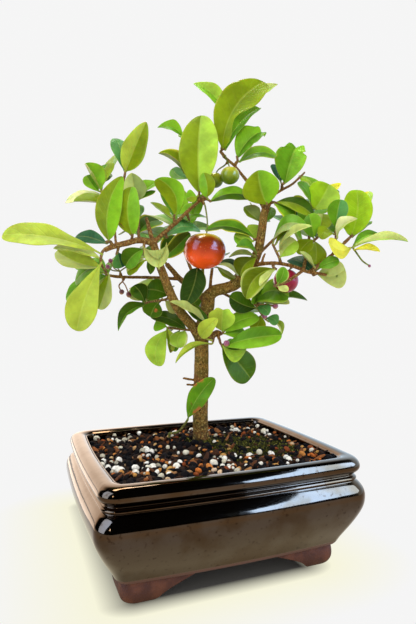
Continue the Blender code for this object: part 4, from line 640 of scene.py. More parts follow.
        (((50.2, 188, 19.5), (48, 192.5, 19.5), (45.8, 197, 18.5)),), (
        ((51, 188.6, 20.8), (61.4, 199.4, 25), 15, 30, 1, "pale/lime"),
        ((47.6, 197, 19.5), (68, 207.8, 22), 12, 50, 2, "olive/grey", "point"),
        ((46, 199, 17.7), (68.6, 208.4, 15), 17, 50, 6, "green/grey", "oval"),
        ((50.3, 193, 21), (71.5, 208.8, 29), 9, 62, 1.5, "pale", "point"))),
    "back_left": (((-10, 186, -44), (-15, 200, -54)), (((-17, 206, -58), (-18, 212, -61)),), (
        ((-18.5, 214, -61.5), (-21, 236, -72), 21, 30, 0, "green/bright"),
        ((-17, 207.5, -59.5), (-32, 216, -80), 18, 50, 0, "olive/green"),
        ((-15, 205, -57), (6, 208, -68), 20, 60, 0, "dark/green"),
        ((-18, 211, -62), (-24, 204, -90), 21, 60),
        ((-16, 206.5, -57), (-4, 222, -48), 18, 40, 0, "bright/green"))),
    "back_right": (((40, 194, -38), (52, 206, -47)), (((56, 210, -50), (60, 213, -53)),), (
        ((61.5, 214, -53.5), (80, 222, -62), 21, 55),
        ((57, 209.5, -51), (66, 196, -62), 20, 60, 0, "bright/olive"),
        ((55, 210.5, -50), (44, 216, -66), 20, 55, 0, "green/dark"),
        ((60, 212, -54), (62, 206, -82), 21, 60),
        ((59, 213.5, -52), (68, 226, -38), 19, 40, 0, "olive/green"))),
}

# Flower buds on the sprays: centre and radius
sprayBuds = {
    "low_fan": (((47.6, 156.5, 1.4), 1.9), ((40.6, 149.6, -2), 1.7)),
    "low_right_down": (((15.6, 131.7, 12.9), 1.9),),
    "right_tip": (((109.6, 182.8, 25.2), 0.9),),
}

bunches = {  # stub, stalks, and the buds on them
    "flower_buds": (((-54, 175.4, -9.3), (-54.4, 178.2, -7)),
        (((-54.6, 179, -6.3), (-51, 181.5, -3.5), (-48.8, 181.2, -3)), ((-54.6, 179, -6.3),
            (-56.5, 182, -4), (-57.3, 186.6, -2.9)), ((-54.6, 179, -6.3), (-58.5, 181, -2.5),
            (-60.9, 185.6, -0.9)), ((-54.6, 179, -6.3), (-59.5, 179.6, -1.5), (-62.6, 181.8, 1.1))),
        (((-48.2, 181.2, -2.8), 1.9), ((-57.3, 186.8, -2.9), 1.2), ((-61, 185.9, -0.8), 1.5),
            ((-62.8, 181.9, 1.2), 1.5))),
    "fruitlets": (((-52, 175.3, -10), (-52.6, 173, -7.6)),
        (((-53, 172.3, -7), (-55.3, 169.5, -5.5), (-53.8, 166, -4.8)), ((-53, 172.3, -7),
            (-51, 169.6, -5), (-48.9, 164.4, -3.9))),
        (((-53.6, 165.5, -4.8), 1.7), ((-48.8, 163.8, -3.8), 1.9))),
}

fruits = {  # stub, stalk, centre, radius across and radius upright
    "cherry_front": (((-1.5, 226.6, 5), (0.7, 223.4, 7.6)), ((2.2, 217, 10), (2.8, 210, 12.5),
        (2.2, 202.5, 14)), (1.0, 192.9, 14), 13.2, 11.9),
    "cherry_right": (((58.5, 182.7, 17.3), (58, 181.5, 14.6)), ((57.3, 180.6, 13.8), (56, 179.3, 13.2)),
        (54.6, 173.2, 13), 7.9, 7.8),
    "berry_front": (((13.6, 254.8, 0), (14.2, 255.2, 3)), ((15, 253.5, 4.4), (16.6, 250, 5),
        (17.4, 246.8, 5)), (17.5, 242.4, 5), 6.2, 5.9),
    "berry_rear": (((17, 252, 0), (15.2, 250.2, -2.8)), ((13.5, 248.6, -3.6), (10, 246.2, -2.6),
        (8.2, 243.5, -2)), (7.8, 239.3, -2), 5.4, 5.2),
}
shootStem = ((-21.5, 72.5, -16.5), (-18, 73, -14), (-14.4, 75, -11), (-9.8, 81.6, -5.5))
shootLeaf = Leaf((-9.6, 83.2, -4.6), (7.6, 109, -2), 13.5, 20, 1.5, "green", "oval")


# Leaves

leafTones = {
    "deep": (0.024, 0.060, 0.003),
    "dark": (0.052, 0.125, 0.004),
    "green": (0.105, 0.270, 0.010),
    "bright": (0.200, 0.440, 0.018),
    "lime": (0.350, 0.560, 0.050),
    "fresh": (0.290, 0.500, 0.014),
    "moss": (0.100, 0.140, 0.004),
    "olive": (0.200, 0.290, 0.007),
    "straw": (0.365, 0.470, 0.045),
    "pale": (0.440, 0.520, 0.140),
    "yellow": (0.700, 0.680, 0.050),
    "cream": (0.640, 0.680, 0.300),
    "teal": (0.024, 0.105, 0.038),
    "blue": (0.085, 0.265, 0.060),
    "grey": (0.240, 0.320, 0.090),
    "brown": (0.160, 0.080, 0.020),
    "rust": (0.450, 0.130, 0.035),
}
leafSettings = {
    "rows": 30,
    "crowding": 1.45,                # how much closer the rows stand at the tip
    "columns": (0.0, 0.07, 0.28, 0.52, 0.75, 0.92, 1.0),
    "thickness": 0.42,
    "margin": 0.14,
    "leastEdge": (0.45, 0.12),       # least half width at the base and at the tip
    "tipFullness": 0.28,
    "lastRow": 0.9995,               # the tip isn't quite closed
    "levelSide": 0.05,               # a side counts as level below this slope
    "rib": 0.42,
    "ribWidth": 0.16,
    "ribFade": 0.75,
    "ribRise": 0.35,
    "fold": 0.10,
    "curl": (-0.06, 0.10),
    "wave": 0.012,
    "waves": (1.2, 2.6),
    "quilt": 0.28,
    "veins": 7,
    "veinSlant": 1.26,
    "lobes": {"notch": (0.66, 0.9, 0.20), "cup": (0.95, 1.7, 0.04)},  # width, curve, rounding
    "notchReach": 1.7,
    "notchPower": 7,
    "seam": 0.06,                    # how softly the two halves' tones meet
    "edgeTint": (0.80, 1.0),
    # painted backlight: the blade is painted lighter from the midrib out to its edge
    "paintedEdgeLight": (0.9, 0.2),
    "fade": 0.30,
    "spotCore": 0.6,
    "underside": (0.24, 0.30, 0.09),
    "undersideShare": 0.45,
    "stalkRadii": (0.6875, 0.4125),
    "stalkSides": 6,
    "stalkSteps": 4,
    "stalkBend": (0.55, 0.2),        # where the stalk sags, as a share of its length, and how deep
    "stalkEnd": (0.6, 0.1, 0.15),    # how far it runs into the blade, its last row and its depth there
    "stalkTint": (0.20, 0.13, 0.04),
    "stalkShare": 0.45,
    "cadTipRow": 0.97,               # the solid leaf's end, by which its reach is found again
    "cadLeastHalf": 0.65,
    "cadHalfThickness": 0.35,
    "cadMatch": (0.02, 0.2),         # distance in mm that is surely, and still, the solid leaf's corner
}
leafBends = (0, 3, -3, 6, -6, 9, -9, 12, -12, 16, -16, 20, -20, 25, -25, 30, -30)
# Scars and blotches: place across and along the blade, radius, tone
leafSpots = {
    ("left_low", 4): ((0.3, 0.55, 0.14, "rust"),),
    ("left_low", 3): ((0.3, 0.7, 0.15, "deep"),),
    ("low_left", 2): ((0.0, 0.95, 0.09, "brown"),),
    ("right_under", 0): ((-0.1, 0.62, 0.05, "deep"), (0.3, 0.3, 0.1, "olive")),
    ("shoot", 0): ((-0.75, 0.20, 0.07, "rust"), (-0.9, 0.30, 0.06, "rust"), (1.05, 0.80, 0.08, "rust"),
                   (1.05, 0.66, 0.06, "rust"), (0.2, 0.3, 0.03, "brown")),
}
# Leaves with an outline of their own: how blunt, where widest, how much broader
leafOutlines = {
    ("left_tip", 0): (0.55, 2.3, 1.0), ("left_tip", 1): (0.8, 1.3, 1.2), ("left_tip", 2): (0.6, 1.5, 1.2),
    ("left_tip", 3): (0.62, 2.0, 1.0), ("left_upper_tip", 1): (0.8, 0.82, 1.1),
    ("left_upright", 0): (0.62, 0.95, 1.3), ("upper_left", 0): (0.85, 0.76, 1.18),
    ("left_mid", 0): (0.8, 1.1, 1.5), ("left_mid", 4): (0.7, 1.0, 1.3), ("left_mid", 5): (0.4, 1.6, 1.2),
    ("left_inner", 0): (0.95, 0.8, 0.95), ("left_cup", 0): (0.45, 1.3, 1.1),
    ("centre_right", 1): (0.6, 1.0, 1.5), ("right_two_tone", 0): (0.8, 0.95, 1.05),
    ("low_left", 2): (0.7, 1.0, 1.5), ("low_left", 4): (0.6, 1.3, 1.35),
    ("low_right_front", 0): (0.75, 0.8, 1.0), ("low_right_front", 1): (0.9, 1.1, 0.75),
    ("under_cherry", 0): (0.62, 0.85, 1.15), ("crown", 0): (0.5, 1.25, 1.25), ("crown", 3): (0.6, 1.2, 1.3),
    ("crown_right", 0): (0.55, 1.2, 1.1), ("right_upper", 2): (0.5, 1.5, 1.25),
    ("right_outer", 0): (0.5, 1.15, 1.05), ("right_tip", 0): (0.66, 1.4, 1.0),
    ("low_right_down", 2): (0.5, 1.45, 1.1),
}
fineKinds = {"round": (0.58, 1.5, 1.0), "oval": (0.66, 1.15, 1.0)}  # the same for whole kinds
# Leaves that stand a little differently from the solid ones
leafPlaces = {
    ("low_right_front", 0): Leaf((-1.2, 135.6, 9), (9.8, 148, 14), 11, 15, 0.8, "straw", "point"),
    ("upper_left", 0): Leaf((-51, 245, 9), (-37.6, 277.4, 14), 14, -35, 1.2, "straw/olive/lime"),
    ("upper_left", 3): Leaf((-51, 244.5, 6.5), (-45.5, 262, -1), 13, -20, 0, "olive"),
}
# Bites in the edge: side, place along the blade, depth, half width
leafBites = {
    ("right_bitten", 0): ((-1, 0.78, 0.30, 0.05), (1, 0.55, 0.12, 0.04), (1, 0.86, 0.3, 0.03)),
    ("crown", 0): ((-1, 0.36, 0.62, 0.22), (1, 0.82, 0.08, 0.02)),
    ("right_inner", 0): ((1, 0.66, 0.22, 0.06),),
    ("crown_right", 0): ((-1, 0.5, 0.1, 0.05),),
    ("left_low", 5): ((1, 0.6, 0.15, 0.04),),
}


class Blade:
    def __init__(self, leaf, bend):
        self.leaf = leaf
        self.fold, self.arch, self.blunt, self.widest, self.notch = leafKinds[leaf.kind]
        self.folded = math.radians(self.fold)
        self.base = seen(leaf.base)
        across, up, toward = leaf.tip
        tip = seen((across, up, toward + bend))
        self.along = (tip - self.base).normalized()
        facing = (viewBack - self.along * viewBack.dot(self.along)).normalized()
        self.side = self.along.cross(facing)
        level = leafSettings["levelSide"]
        if self.side.z < -level or (abs(self.side.z) <= level and self.side.dot(viewRight) < 0):
            self.side = -self.side
        turn = math.radians(leaf.turn)
        self.normal = facing * math.cos(turn) + self.side * math.sin(turn)
        self.across = self.normal.cross(self.along)
        self.length = (tip - self.base).length
        self.near = nearness(leaf.base[2])

    def middle(self, row):
        swing = self.side * (self.leaf.bow * self.near) + self.normal * (self.arch * self.length)
        return self.base + self.along * (self.length * row) + swing * (4 * row * (1 - row))

    def endCorners(self):
        look = leafSettings
        fullness = math.sin(math.pi * look["cadTipRow"] ** self.widest) ** self.blunt
        half = max(self.leaf.width * self.near / 2 * fullness, look["cadLeastHalf"])
        thick = self.normal * (look["cadHalfThickness"] / math.cos(self.folded))
        centre = self.middle(1.0) + self.normal * (half * math.sin(self.folded))
        spread = self.across * (half * math.cos(self.folded))
        return [centre + spread * one + thick * two for one in (-1, 1) for two in (-1, 1)]


def cornersOf(node):
    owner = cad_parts[node]
    tree = kdtree.KDTree(len(owner.data.vertices))
    for vert in owner.data.vertices:
        tree.insert(owner.matrix_world @ vert.co, vert.index)
    tree.balance()
    return tree


def bendOf(leaf, corners):
    # how far the solid leaf's tip was bent toward or away from the viewer to clear its neighbours
    sure, near = leafSettings["cadMatch"]
    found = []
    for bend in leafBends:
        away = min(corners.find(corner * mm)[2] for corner in Blade(leaf, bend).endCorners())
        found.append((away / mm, abs(bend), bend))
        if away < sure * mm:
            break
    nearest = min(found)
    return nearest[2] if nearest[0] < near else None


def bladeTint(leaf, tones, place, row, fade, spots, length):
    look = leafSettings
    first, second, edge = tones
    edgeward = abs(place)
    # lighter toward the edge: painted backlight, times a random fade along the blade
    start, gain = look["paintedEdgeLight"]
    light = (1 + fade * (row - 0.5)) * (start + gain * edgeward)
    tint = [part * light for part in blendColours(second, first, easeIn(-look["seam"], look["seam"], place))]
    if edge:
        tint = blendColours(tint, edge, easeIn(*look["edgeTint"], edgeward))
    for spotAcross, spotAlong, radius, tone in spots:
        away = math.hypot((place - spotAcross) * leaf.width / 2, (row - spotAlong) * length) / length
        tint = blendColours(tint, leafTones[tone], 1 - easeIn(radius * look["spotCore"], radius, away))
    return tint


def bladeFaces(rows, wide):
    faces = []
    below = rows * wide
    for low in range(0, below - wide, wide):
        for one in range(low, low + wide - 1):
            quad = [one, one + wide, one + wide + 1, one + 1]
            faces.append(quad)
            faces.append([below + corner for corner in reversed(quad)])
        last = low + wide - 1
        faces.append([low, below + low, below + low + wide, low + wide])
        faces.append([last, last + wide, below + last + wide, below + last])
    for step in range(wide - 1):
        end = below - wide + step
        faces.append([step, step + 1, below + step + 1, below + step])
        faces.append([end, below + end, below + end + 1, end + 1])
    return faces


def addLeaf(shape, leaf, root, bend, node, number):
    look = leafSettings
    key = (node.removeprefix("leaves_"), number)
    blade = Blade(leaf, bend)
    draw = random.Random(f"{node} {number}")
    phase = draw.uniform(0, 2 * math.pi)
    curl = draw.uniform(*look["curl"])
    waves = draw.uniform(*look["waves"])
    fade = draw.uniform(-1, 1) * look["fade"]
    tones = [leafTones[tone] for tone in leaf.tones.split("/")]
    first = tones[0]
    second = tones[1] if len(tones) > 1 else first
    edge = tones[2] if len(tones) > 2 else None
    # the upper or left half takes the first tone; the halves' tones are partly painted light and shade
    if blade.across.dot(upward - viewRight) < 0:
        first, second = second, first
    bites = leafBites.get(key, ())
    spots = leafSpots.get(key, ())
    columns = [-place for place in look["columns"][:0:-1]] + list(look["columns"])
    outline = fineKinds.get(leaf.kind, (blade.blunt, blade.widest, 1.0))
    blunt, widest, broad = leafOutlines.get(key, outline)
    lobeWidth, lobeCurve, lobeRound = look["lobes"].get(leaf.kind, (0, 1, 0))
    baseEdge, tipEdge = look["leastEdge"]
    top = []
    under = []
    topTints = []
    underTints = []
    blades = []
    for index in range(look["rows"]):
        row = 1 - (1 - index / (look["rows"] - 1)) ** look["crowding"]
        fullness = math.sin(math.pi * min(row, look["lastRow"]) ** widest)
        fullness **= blunt * (1 - look["tipFullness"] * row)
        if row > 0.5:
            fullness = max(fullness, lobeWidth)
        half = max(leaf.width * broad * blade.near / 2 * fullness, baseEdge * (1 - row) + tipEdge)
        centre = blade.middle(row)
        for place in columns:
            edgeward = abs(place)
            reach = half
            for way, where, depth, width in bites:
                if way * place > 0:
                    reach *= 1 - depth * math.exp(-((row - where) / width) ** 2)
            lift = half * (math.sin(blade.folded) * edgeward + look["fold"] * edgeward + curl * edgeward**2)
            swell = math.sin(2 * math.pi * waves * row + phase + place) * edgeward**2 * math.sin(math.pi * row)
            vein = math.cos(2 * math.pi * (row * look["veins"] - edgeward * look["veinSlant"]))
            lift += blade.length * look["wave"] * swell
            lift += look["quilt"] * vein * edgeward * (1 - edgeward) * fullness
            back = 0.0
            if blade.notch:
                dip = look["notchReach"] * blade.notch * (1 - edgeward**lobeCurve) + lobeRound * edgeward**5
                back = blade.length * row ** look["notchPower"] * dip
            point = centre + blade.across * (reach * place * math.cos(blade.folded))
            point = point + blade.normal * lift - blade.along * back
            thick = look["thickness"] * (1 - edgeward**3) + look["margin"] * edgeward**3
            groove = look["rib"] * (1 - look["ribFade"] * row) * max(0.0, 1 - edgeward / look["ribWidth"])
            top.append(point + blade.normal * (thick / 2 - groove * look["ribRise"]))
            under.append(point - blade.normal * (thick / 2 + groove))
            tint = bladeTint(leaf, (first, second, edge), place, row, fade, spots, blade.length)
            topTints.append(tint)
            underTints.append(blendColours(tint, look["underside"], look["undersideShare"]))
            blades.append((place / 2 + 0.5, row))
    shape.add(top + under, bladeFaces(look["rows"], len(columns)), 0, topTints + underTints, blades + blades)
    addStalk(shape, blade, root, blendColours(first, second, 0.5))


def addStalk(shape, blade, root, tint):
    look = leafSettings
    share, sag = look["stalkBend"]
    reach, row, depth = look["stalkEnd"]
    knots = [root, root.lerp(blade.base, share) - blade.normal * sag, blade.base + blade.along * reach,
             blade.middle(row) - blade.normal * depth]
    path = smoothPath(knots, look["stalkSteps"])
    addTube(shape, path, look["stalkRadii"], look["stalkSides"],
            blendColours(tint, look["stalkTint"], look["stalkShare"]))


def addTube(shape, path, radii, sides, tint):
    rings = []
    turns = [2 * math.pi * step / sides for step in range(sides)]
    heading = (path[1] - path[0]).normalized()
    aside = heading.orthogonal().normalized()
    for index, place in enumerate(path):
        ahead = (path[min(index + 1, len(path) - 1)] - path[max(index - 1, 0)]).normalized()
        aside = heading.rotation_difference(ahead) @ aside
        heading = ahead
        other = heading.cross(aside)
        radius = radiusAt(*radii, index, path)
        rings.append([place + (aside * math.cos(turn) + other * math.sin(turn)) * radius for turn in turns])
    points, faces = loftRings(rings)
    shape.add(points, faces, 0, [tint] * len(points))


# Finishes

finishSettings = {
    "leaf": {
        "surface": {"Subsurface Weight": 0.15, "Subsurface Scale": 1.2 * mm, "Specular IOR Level": 0.05,
                    "Specular Tint": (0.95, 1.0, 0.5, 1)},
        "rib": (0.02, 0.09),
        "veins": (8, 1.6),               # how many, and their slant
        "vein": (0.02, 0.14),
        "veinEnd": (0.5, 0.95),
        "cloud": (110, 3),
        "cloudBand": (0.35, 0.68),
        "shades": (1.12, 0.82),
        "mottle": ((330, 3, 0.6), (0.3, 0.7)),
        "mottled": (0.35, 0.72),         # share and shade
        # a pale painted rim of backlight along the blade's edge
        "edge": (0.93, 1.0),
        "edgeGlowShare": 0.35,
        "edgeGlowTone": (0.46, 0.50, 0.10),
        "ribTone": (0.42, 0.46, 0.10),
        "ribPale": (0.35, 1.25),         # share and shade
        "lineShares": (0.45, 0.06),      # rib, veins
        "cells": 1900,
        "relief": (0.4, 0.2, 0.4, 0.6),  # cloud, cells, veins, rib
        "roughness": ((0.2, 0.9), 0.15, 0.34),
        "bump": (0.4, 0.3),
    },
    "bark": {
        "surface": {"Specular IOR Level": 0.08},
        "streaks": (1000.0, 5.0, 0.7, (1.0, 1.0, 0.5)),
        "streakBand": (0.35, 0.66),
        "shades": (0.42, 1.3),
        "spots": ((820, 2), (0.55, 0.63)),
        "pits": ((640, 3), (0.56, 0.68)),
        "moss": ((150, 4), (0.42, 0.6)),
        "lowTrunk": (0.066, 0.088),          # the trunk is darker up to here, in metres
        "mossLayer": (0.75, (0.125, 0.095, 0.016)),
        "lowTrunkLayer": (0.5, 0.4, (0.030, 0.026, 0.006)),
        "pitLayer": (0.5, 0.3, (0.03, 0.018, 0.008)),
        "spotLayer": (0.6, (0.48, 0.36, 0.10)),
        "roughness": (0.2, 0.68),
        "relief": 0.6,
        "bump": (0.9, 0.6),
    },
    "bud": {
        "surface": {"Roughness": 0.5, "Sheen Weight": 0.2},
        "blotches": ((900,), (0.4, 0.65)),
        "blotched": (0.5, 0.5),          # share and shade
        "grain": 1400,
        "bump": (0.4, 0.2),
    },
    "fruit": {
        "surface": {"Subsurface Weight": 0.05, "Subsurface Scale": 2 * mm, "IOR": 1.32},
        "cloud": (75, 3),
        "cloudBand": (0.36, 0.64),
        "cloudShare": 0.6,
        "cells": 560,
        "dots": (0.10, 0.2),
        "dotShare": 0.2,
        "dotTone": (0.85, 0.32, 0.03),
        "roughness": 0.12,
        "dents": (220, 3),
        "bump": (0.15, 0.6),
    },
    "glaze": {
        "surface": {"Specular Tint": (1.0, 0.95, 0.90, 1)},
        "cloud": (45, 4),
        "cloudBand": (0.42, 0.64),
        "cloudShare": 0.8,
        "tones": ((0.080, 0.056, 0.038), (0.055, 0.030, 0.013)),
        "thinTone": (0.09, 0.04, 0.012),
        "flecks": ((420, 3), (0.60, 0.72)),
        "fleckShare": 0.6,
        "fleckTone": (0.025, 0.011, 0.005),
        "bareTone": (0.08, 0.025, 0.010),
        "roughness": (0.6, 0.06, 0.05),  # bare clay, cloud, least
        "dents": (60, 2),
        "bump": (0.08, 1.4),
    },
    "clay": {
        "surface": {"Specular IOR Level": 0.2},
        "grain": (1100, 4),
        "cloud": (120, 3),
        "cloudBand": (0.35, 0.7),
        "tones": ((0.055, 0.017, 0.007), (0.105, 0.034, 0.014)),
        "roughness": (0.2, 0.6),
        "relief": 0.5,
        "bump": (0.6, 0.4),
    },
    "soil": {
        "surface": {"Specular IOR Level": 0.06},
        "grain": (800, 5, 0.7),
        "cloud": (150, 3),
        "band": (0.8, 1.25),
        "tones": ((0.006, 0.004, 0.003), (0.045, 0.024, 0.013)),
        "roughness": (0.2, 0.75),
        "bump": (1.0, 1.2),
    },
    "grains": {
        "surface": {"Specular IOR Level": 0.06},
        "detail": 3,
        "band": (0.4, 0.65),
        "mottled": (0.5, 0.55),          # share and shade
        "roughness": 0.2,
        "bump": (0.7, 0.3),
    },
}


def leafFinish():
    look = finishSettings["leaf"]
    paint = Paint("leafGreen", look["surface"])
    place = paint.node("ShaderNodeUVMap", {}, uv_map="blade")
    edgeward = abs(paint.axis(place, 0) - 0.5) * 2
    rib = 1 - paint.step(edgeward, *look["rib"])
    count, slant = look["veins"]
    vein = abs((paint.axis(place, 1) * count - edgeward * slant) % 1.0 - 0.5)
    vein = (1 - paint.step(vein, *look["vein"])) * (1 - paint.step(edgeward, *look["veinEnd"]))
    cloud = paint.speckle(*look["cloud"])
    light, dark = look["shades"]
    colour = paint.mix(paint.step(cloud, *look["cloudBand"]), paint.tint(light), paint.tint(dark))
    share, shade = look["mottled"]
    colour = paint.mix(paint.pattern(*look["mottle"]) * share, colour, paint.scaled(colour, shade))
    # painted backlight: a pale rim along the blade's edge
    colour = paint.mix(paint.step(edgeward, *look["edge"]) * look["edgeGlowShare"], colour, look["edgeGlowTone"])
    share, shade = look["ribPale"]
    pale = paint.scaled(paint.mix(share, colour, look["ribTone"]), shade)
    ribShare, veinShare = look["lineShares"]
    colour = paint.mix(rib * ribShare + vein * veinShare, colour, pale)
    cloudHigh, cellsHigh, veinDeep, ribDeep = look["relief"]
    height = cloud * cloudHigh + paint.cells(look["cells"]) * cellsHigh - vein * veinDeep - rib * ribDeep
    band, gain, least = look["roughness"]
    return paint.feed(colour=colour, roughness=paint.step(cloud, *band) * gain + least,
                      normal=paint.bump(height, *look["bump"]))


def barkFinish():
    look = finishSettings["bark"]
    paint = Paint("barkBrown", look["surface"])
    streaks = paint.speckle(*look["streaks"])
    spots, pits, moss = [paint.pattern(*look[name]) for name in ("spots", "pits", "moss")]
    age = paint.value("age")
    lowTrunk = 1 - paint.step(paint.axis(paint.places(), 2), *look["lowTrunk"])
    dark, light = look["shades"]
    colour = paint.mix(paint.step(streaks, *look["streakBand"]), paint.tint(dark), paint.tint(light))
    share, tone = look["mossLayer"]
    colour = paint.mix(moss * age * share, colour, tone)
    share, least, tone = look["lowTrunkLayer"]
    colour = paint.mix(lowTrunk * (moss * share + least), colour, tone)
    share, least, tone = look["pitLayer"]
    colour = paint.mix(pits * (age * share + least), colour, tone)
    share, tone = look["spotLayer"]
    colour = paint.mix(spots * share, colour, tone)
    gain, least = look["roughness"]
    height = streaks + spots * look["relief"] - pits * look["relief"]
    return paint.feed(colour=colour, roughness=streaks * gain + least, normal=paint.bump(height, *look["bump"]))


def budFinish():
    look = finishSettings["bud"]
    paint = Paint("budRed", look["surface"])
    share, shade = look["blotched"]
    colour = paint.mix(paint.pattern(*look["blotches"]) * share, paint.tint(), paint.tint(shade))
    return paint.feed(colour=colour, normal=paint.bump(paint.speckle(look["grain"]), *look["bump"]))


def fruitFinish(name, dark, roughness):
    look = finishSettings["fruit"]
    paint = Paint(name, look["surface"])
    cloud = paint.speckle(*look["cloud"])
    dots = paint.step(paint.cells(look["cells"]), *look["dots"])
    blotches = paint.step(cloud, *look["cloudBand"]) * look["cloudShare"]
    colour = paint.mix(blotches, paint.tint(), paint.tint(dark))
    colour = paint.mix((1 - dots) * look["dotShare"], colour, look["dotTone"])
    return paint.feed(colour=colour, roughness=cloud * look["roughness"] + roughness,
                      normal=paint.bump(paint.speckle(*look["dents"]), *look["bump"]))


def glazeFinish():
    look = finishSettings["glaze"]
    paint = Paint("glazeBlack", look["surface"])
    cloud = paint.speckle(*look["cloud"])
    flecks = paint.pattern(*look["flecks"])
    bare = paint.value("bare")
    colour = paint.mix(paint.step(cloud, *look["cloudBand"]) * look["cloudShare"], *look["tones"])
    colour = paint.mix(paint.value("thin"), colour, look["thinTone"])
    colour = paint.mix(flecks * look["fleckShare"], colour, look["fleckTone"])
    colour = paint.mix(bare, colour, look["bareTone"])
    bareGain, cloudGain, least = look["roughness"]
    return paint.feed(colour=colour, metal=1 - bare, roughness=bare * bareGain + cloud * cloudGain + least,
                      normal=paint.bump(paint.speckle(*look["dents"]), *look["bump"]))


def clayFinish():
    look = finishSettings["clay"]
    paint = Paint("clayBrown", look["surface"])
    grain, cloud = paint.speckle(*look["grain"]), paint.speckle(*look["cloud"])
    gain, least = look["roughness"]
    return paint.feed(colour=paint.mix(paint.step(cloud, *look["cloudBand"]), *look["tones"]),
                      roughness=grain * gain + least,
                      normal=paint.bump(grain + cloud * look["relief"], *look["bump"]))


def soilFinish():
    look = finishSettings["soil"]
    paint = Paint("soilDark", look["surface"])
    grain, cloud = paint.speckle(*look["grain"]), paint.speckle(*look["cloud"])
    gain, least = look["roughness"]
    return paint.feed(colour=paint.mix(paint.step(cloud + grain, *look["band"]), *look["tones"]),
                      roughness=grain * gain + least, normal=paint.bump(grain, *look["bump"]))


def grainFinish(name, roughness, scale, stops):
    look = finishSettings["grains"]
    paint = Paint(name, look["surface"])
    grain = paint.speckle(scale, look["detail"])
    colour = paint.ramp(paint.value("tone"), stops)
    share, shade = look["mottled"]
    colour = paint.mix(paint.step(grain, *look["band"]) * share, colour, paint.scaled(colour, shade))
    return paint.feed(colour=colour, roughness=grain * look["roughness"] + roughness,
                      normal=paint.bump(grain, *look["bump"]))


leafGreen = leafFinish()
barkBrown = barkFinish()
budRed = budFinish()
cherryRed = fruitFinish("cherryRed", 0.6, 0.10)
berryGreen = fruitFinish("berryGreen", 0.75, 0.16)
glazeBlack = glazeFinish()
clayBrown = clayFinish()
soilDark = soilFinish()
print("finishes made")


# Bark that follows a path

barkSettings = {
    "sides": 14,
    "steps": 6,
    "woodLumps": 0.55,
    "woodLumpScale": 260.0,
    "twigSides": 10,
    "twigLumps": 0.22,
    "twigLumpScale": 420.0,
    "voxel": 0.48,
    "grain": 0.34,
    "grainScale": 900.0,
}


def barkAlongPath():
    kit = GeometryKit("barkAlongPath", {
        "Sides": "Int", "Lump Height": "Float", "Lump Scale": "Float", "Material": "Material"})
    line = kit.node("GeometryNodeMeshToCurve", {0: kit.given()})
    ring = kit.node("GeometryNodeCurvePrimitiveCircle", {"Resolution": kit.given("Sides"), "Radius": 1.0})
    tubes = kit.node("GeometryNodeCurveToMesh", {
        "Curve": line, "Profile Curve": ring, "Scale": kit.attribute("thickness"), "Fill Caps": True})
    kit.finish(kit.pushOut(tubes, kit.given("Lump Scale"), kit.given("Lump Height")))
    return kit


def roughSkin():
    kit = GeometryKit("roughSkin", {"Height": "Float", "Scale": "Float", "Material": "Material"})
    kit.finish(kit.pushOut(kit.given(), kit.given("Scale"), kit.given("Height")))
    return kit


barkTree = barkAlongPath()
skinTree = roughSkin()


def radiusAt(start, end, index, path):
    return start + (end - start) * index / (len(path) - 1)


def barkMesh(paths, sides, lumps, lumpScale):
    points = []
    edges = []
    radii = []
    for path, start, end in paths:
        first = len(points)
        points += [point * mm for point in path]
        edges += [(first + index, first + index + 1) for index in range(len(path) - 1)]
        radii += [radiusAt(start, end, index, path) * mm for index in range(len(path))]
    mesh = bpy.data.meshes.new("lines")
    mesh.from_pydata(points, edges, [])
    pointValues(mesh, "thickness", radii)
    lines = newPiece("lines", mesh)
    barkTree.growOn(lines, {"Sides": sides, "Lump Height": lumps * mm, "Lump Scale": lumpScale,
                            "Material": barkBrown})
    bark = evaluatedMesh(lines)
    dropPiece(lines)
    return bark


def addTwigs(shape, lines, tint, share=1.0):
    look = barkSettings
    twigs = barkMesh(lines, look["twigSides"], look["twigLumps"] * share, look["twigLumpScale"])
    shape.addMesh(twigs, 1, tint)


# Pot

potSettings = {
    "halfLength": 77.5,
    "halfWidth": 67.1,
    "corner": 9.0,
    "cornerShrink": 0.3,
    "cornerLeast": 4.0,
    "bow": 2.5,
    "shortSideBow": 0.8,
    "cornerSteps": 12,
    "sideSteps": 22,
    "profileSteps": 5,
    "profile": (  # inset from the rim's widest line and height, up the outside and down the inside
        (19.0, 13.0), (15.0, 13.0), (11.4, 13.6), (8.2, 19.0), (2.4, 29.0), (-1.4, 37.5), (-2.3, 43.6),
        (-1.6, 47.8), (0.4, 51.2), (2.0, 52.7), (2.2, 53.2), (1.8, 53.7), (1.7, 54.4), (2.2, 55.1),
        (3.1, 55.7), (3.2, 56.3), (1.9, 57.6), (0.6, 59.1), (0.05, 60.6), (0.2, 62.3), (1.0, 64.2),
        (2.6, 65.7), (4.6, 66.3), (7.4, 66.2), (9.7, 65.0), (10.6, 62.6), (11.5, 42.0), (14.0, 24.0),
        (19.0, 20.0), (24.0, 20.0),
    ),
    "ridges": ((-2.3, 44.2, 1.2), (0.05, 60.6, 0.9), (1.7, 54.2, 0.6)),  # where the glaze runs thin
    "thinShare": 0.4,
    "bareInset": 19.0,
    "bareBelow": 15.8,
    "drainRadius": 6.0,
    "drainSides": 32,
    "drainSpread": 30.0,
    "drainHeights": (8.0, 24.0),
}
footSettings = {
    "levels": ((0.0, 12.5, 17.2), (0.8, 15.5, 15.3), (2.4, 19.0, 13.7), (4.9, 23.0, 12.7), (7.6, 29.0, 12.5),
               (10.8, 38.0, 12.8), (14.2, 48.0, 13.6)),  # height, length of each leg, inset
    "steps": 4,
    "thickness": 9.0,
    "corner": 6.0,
    "cornerSteps": 8,
    "bevel": 0.9,
    "bevelAngle": math.radians(40),
}


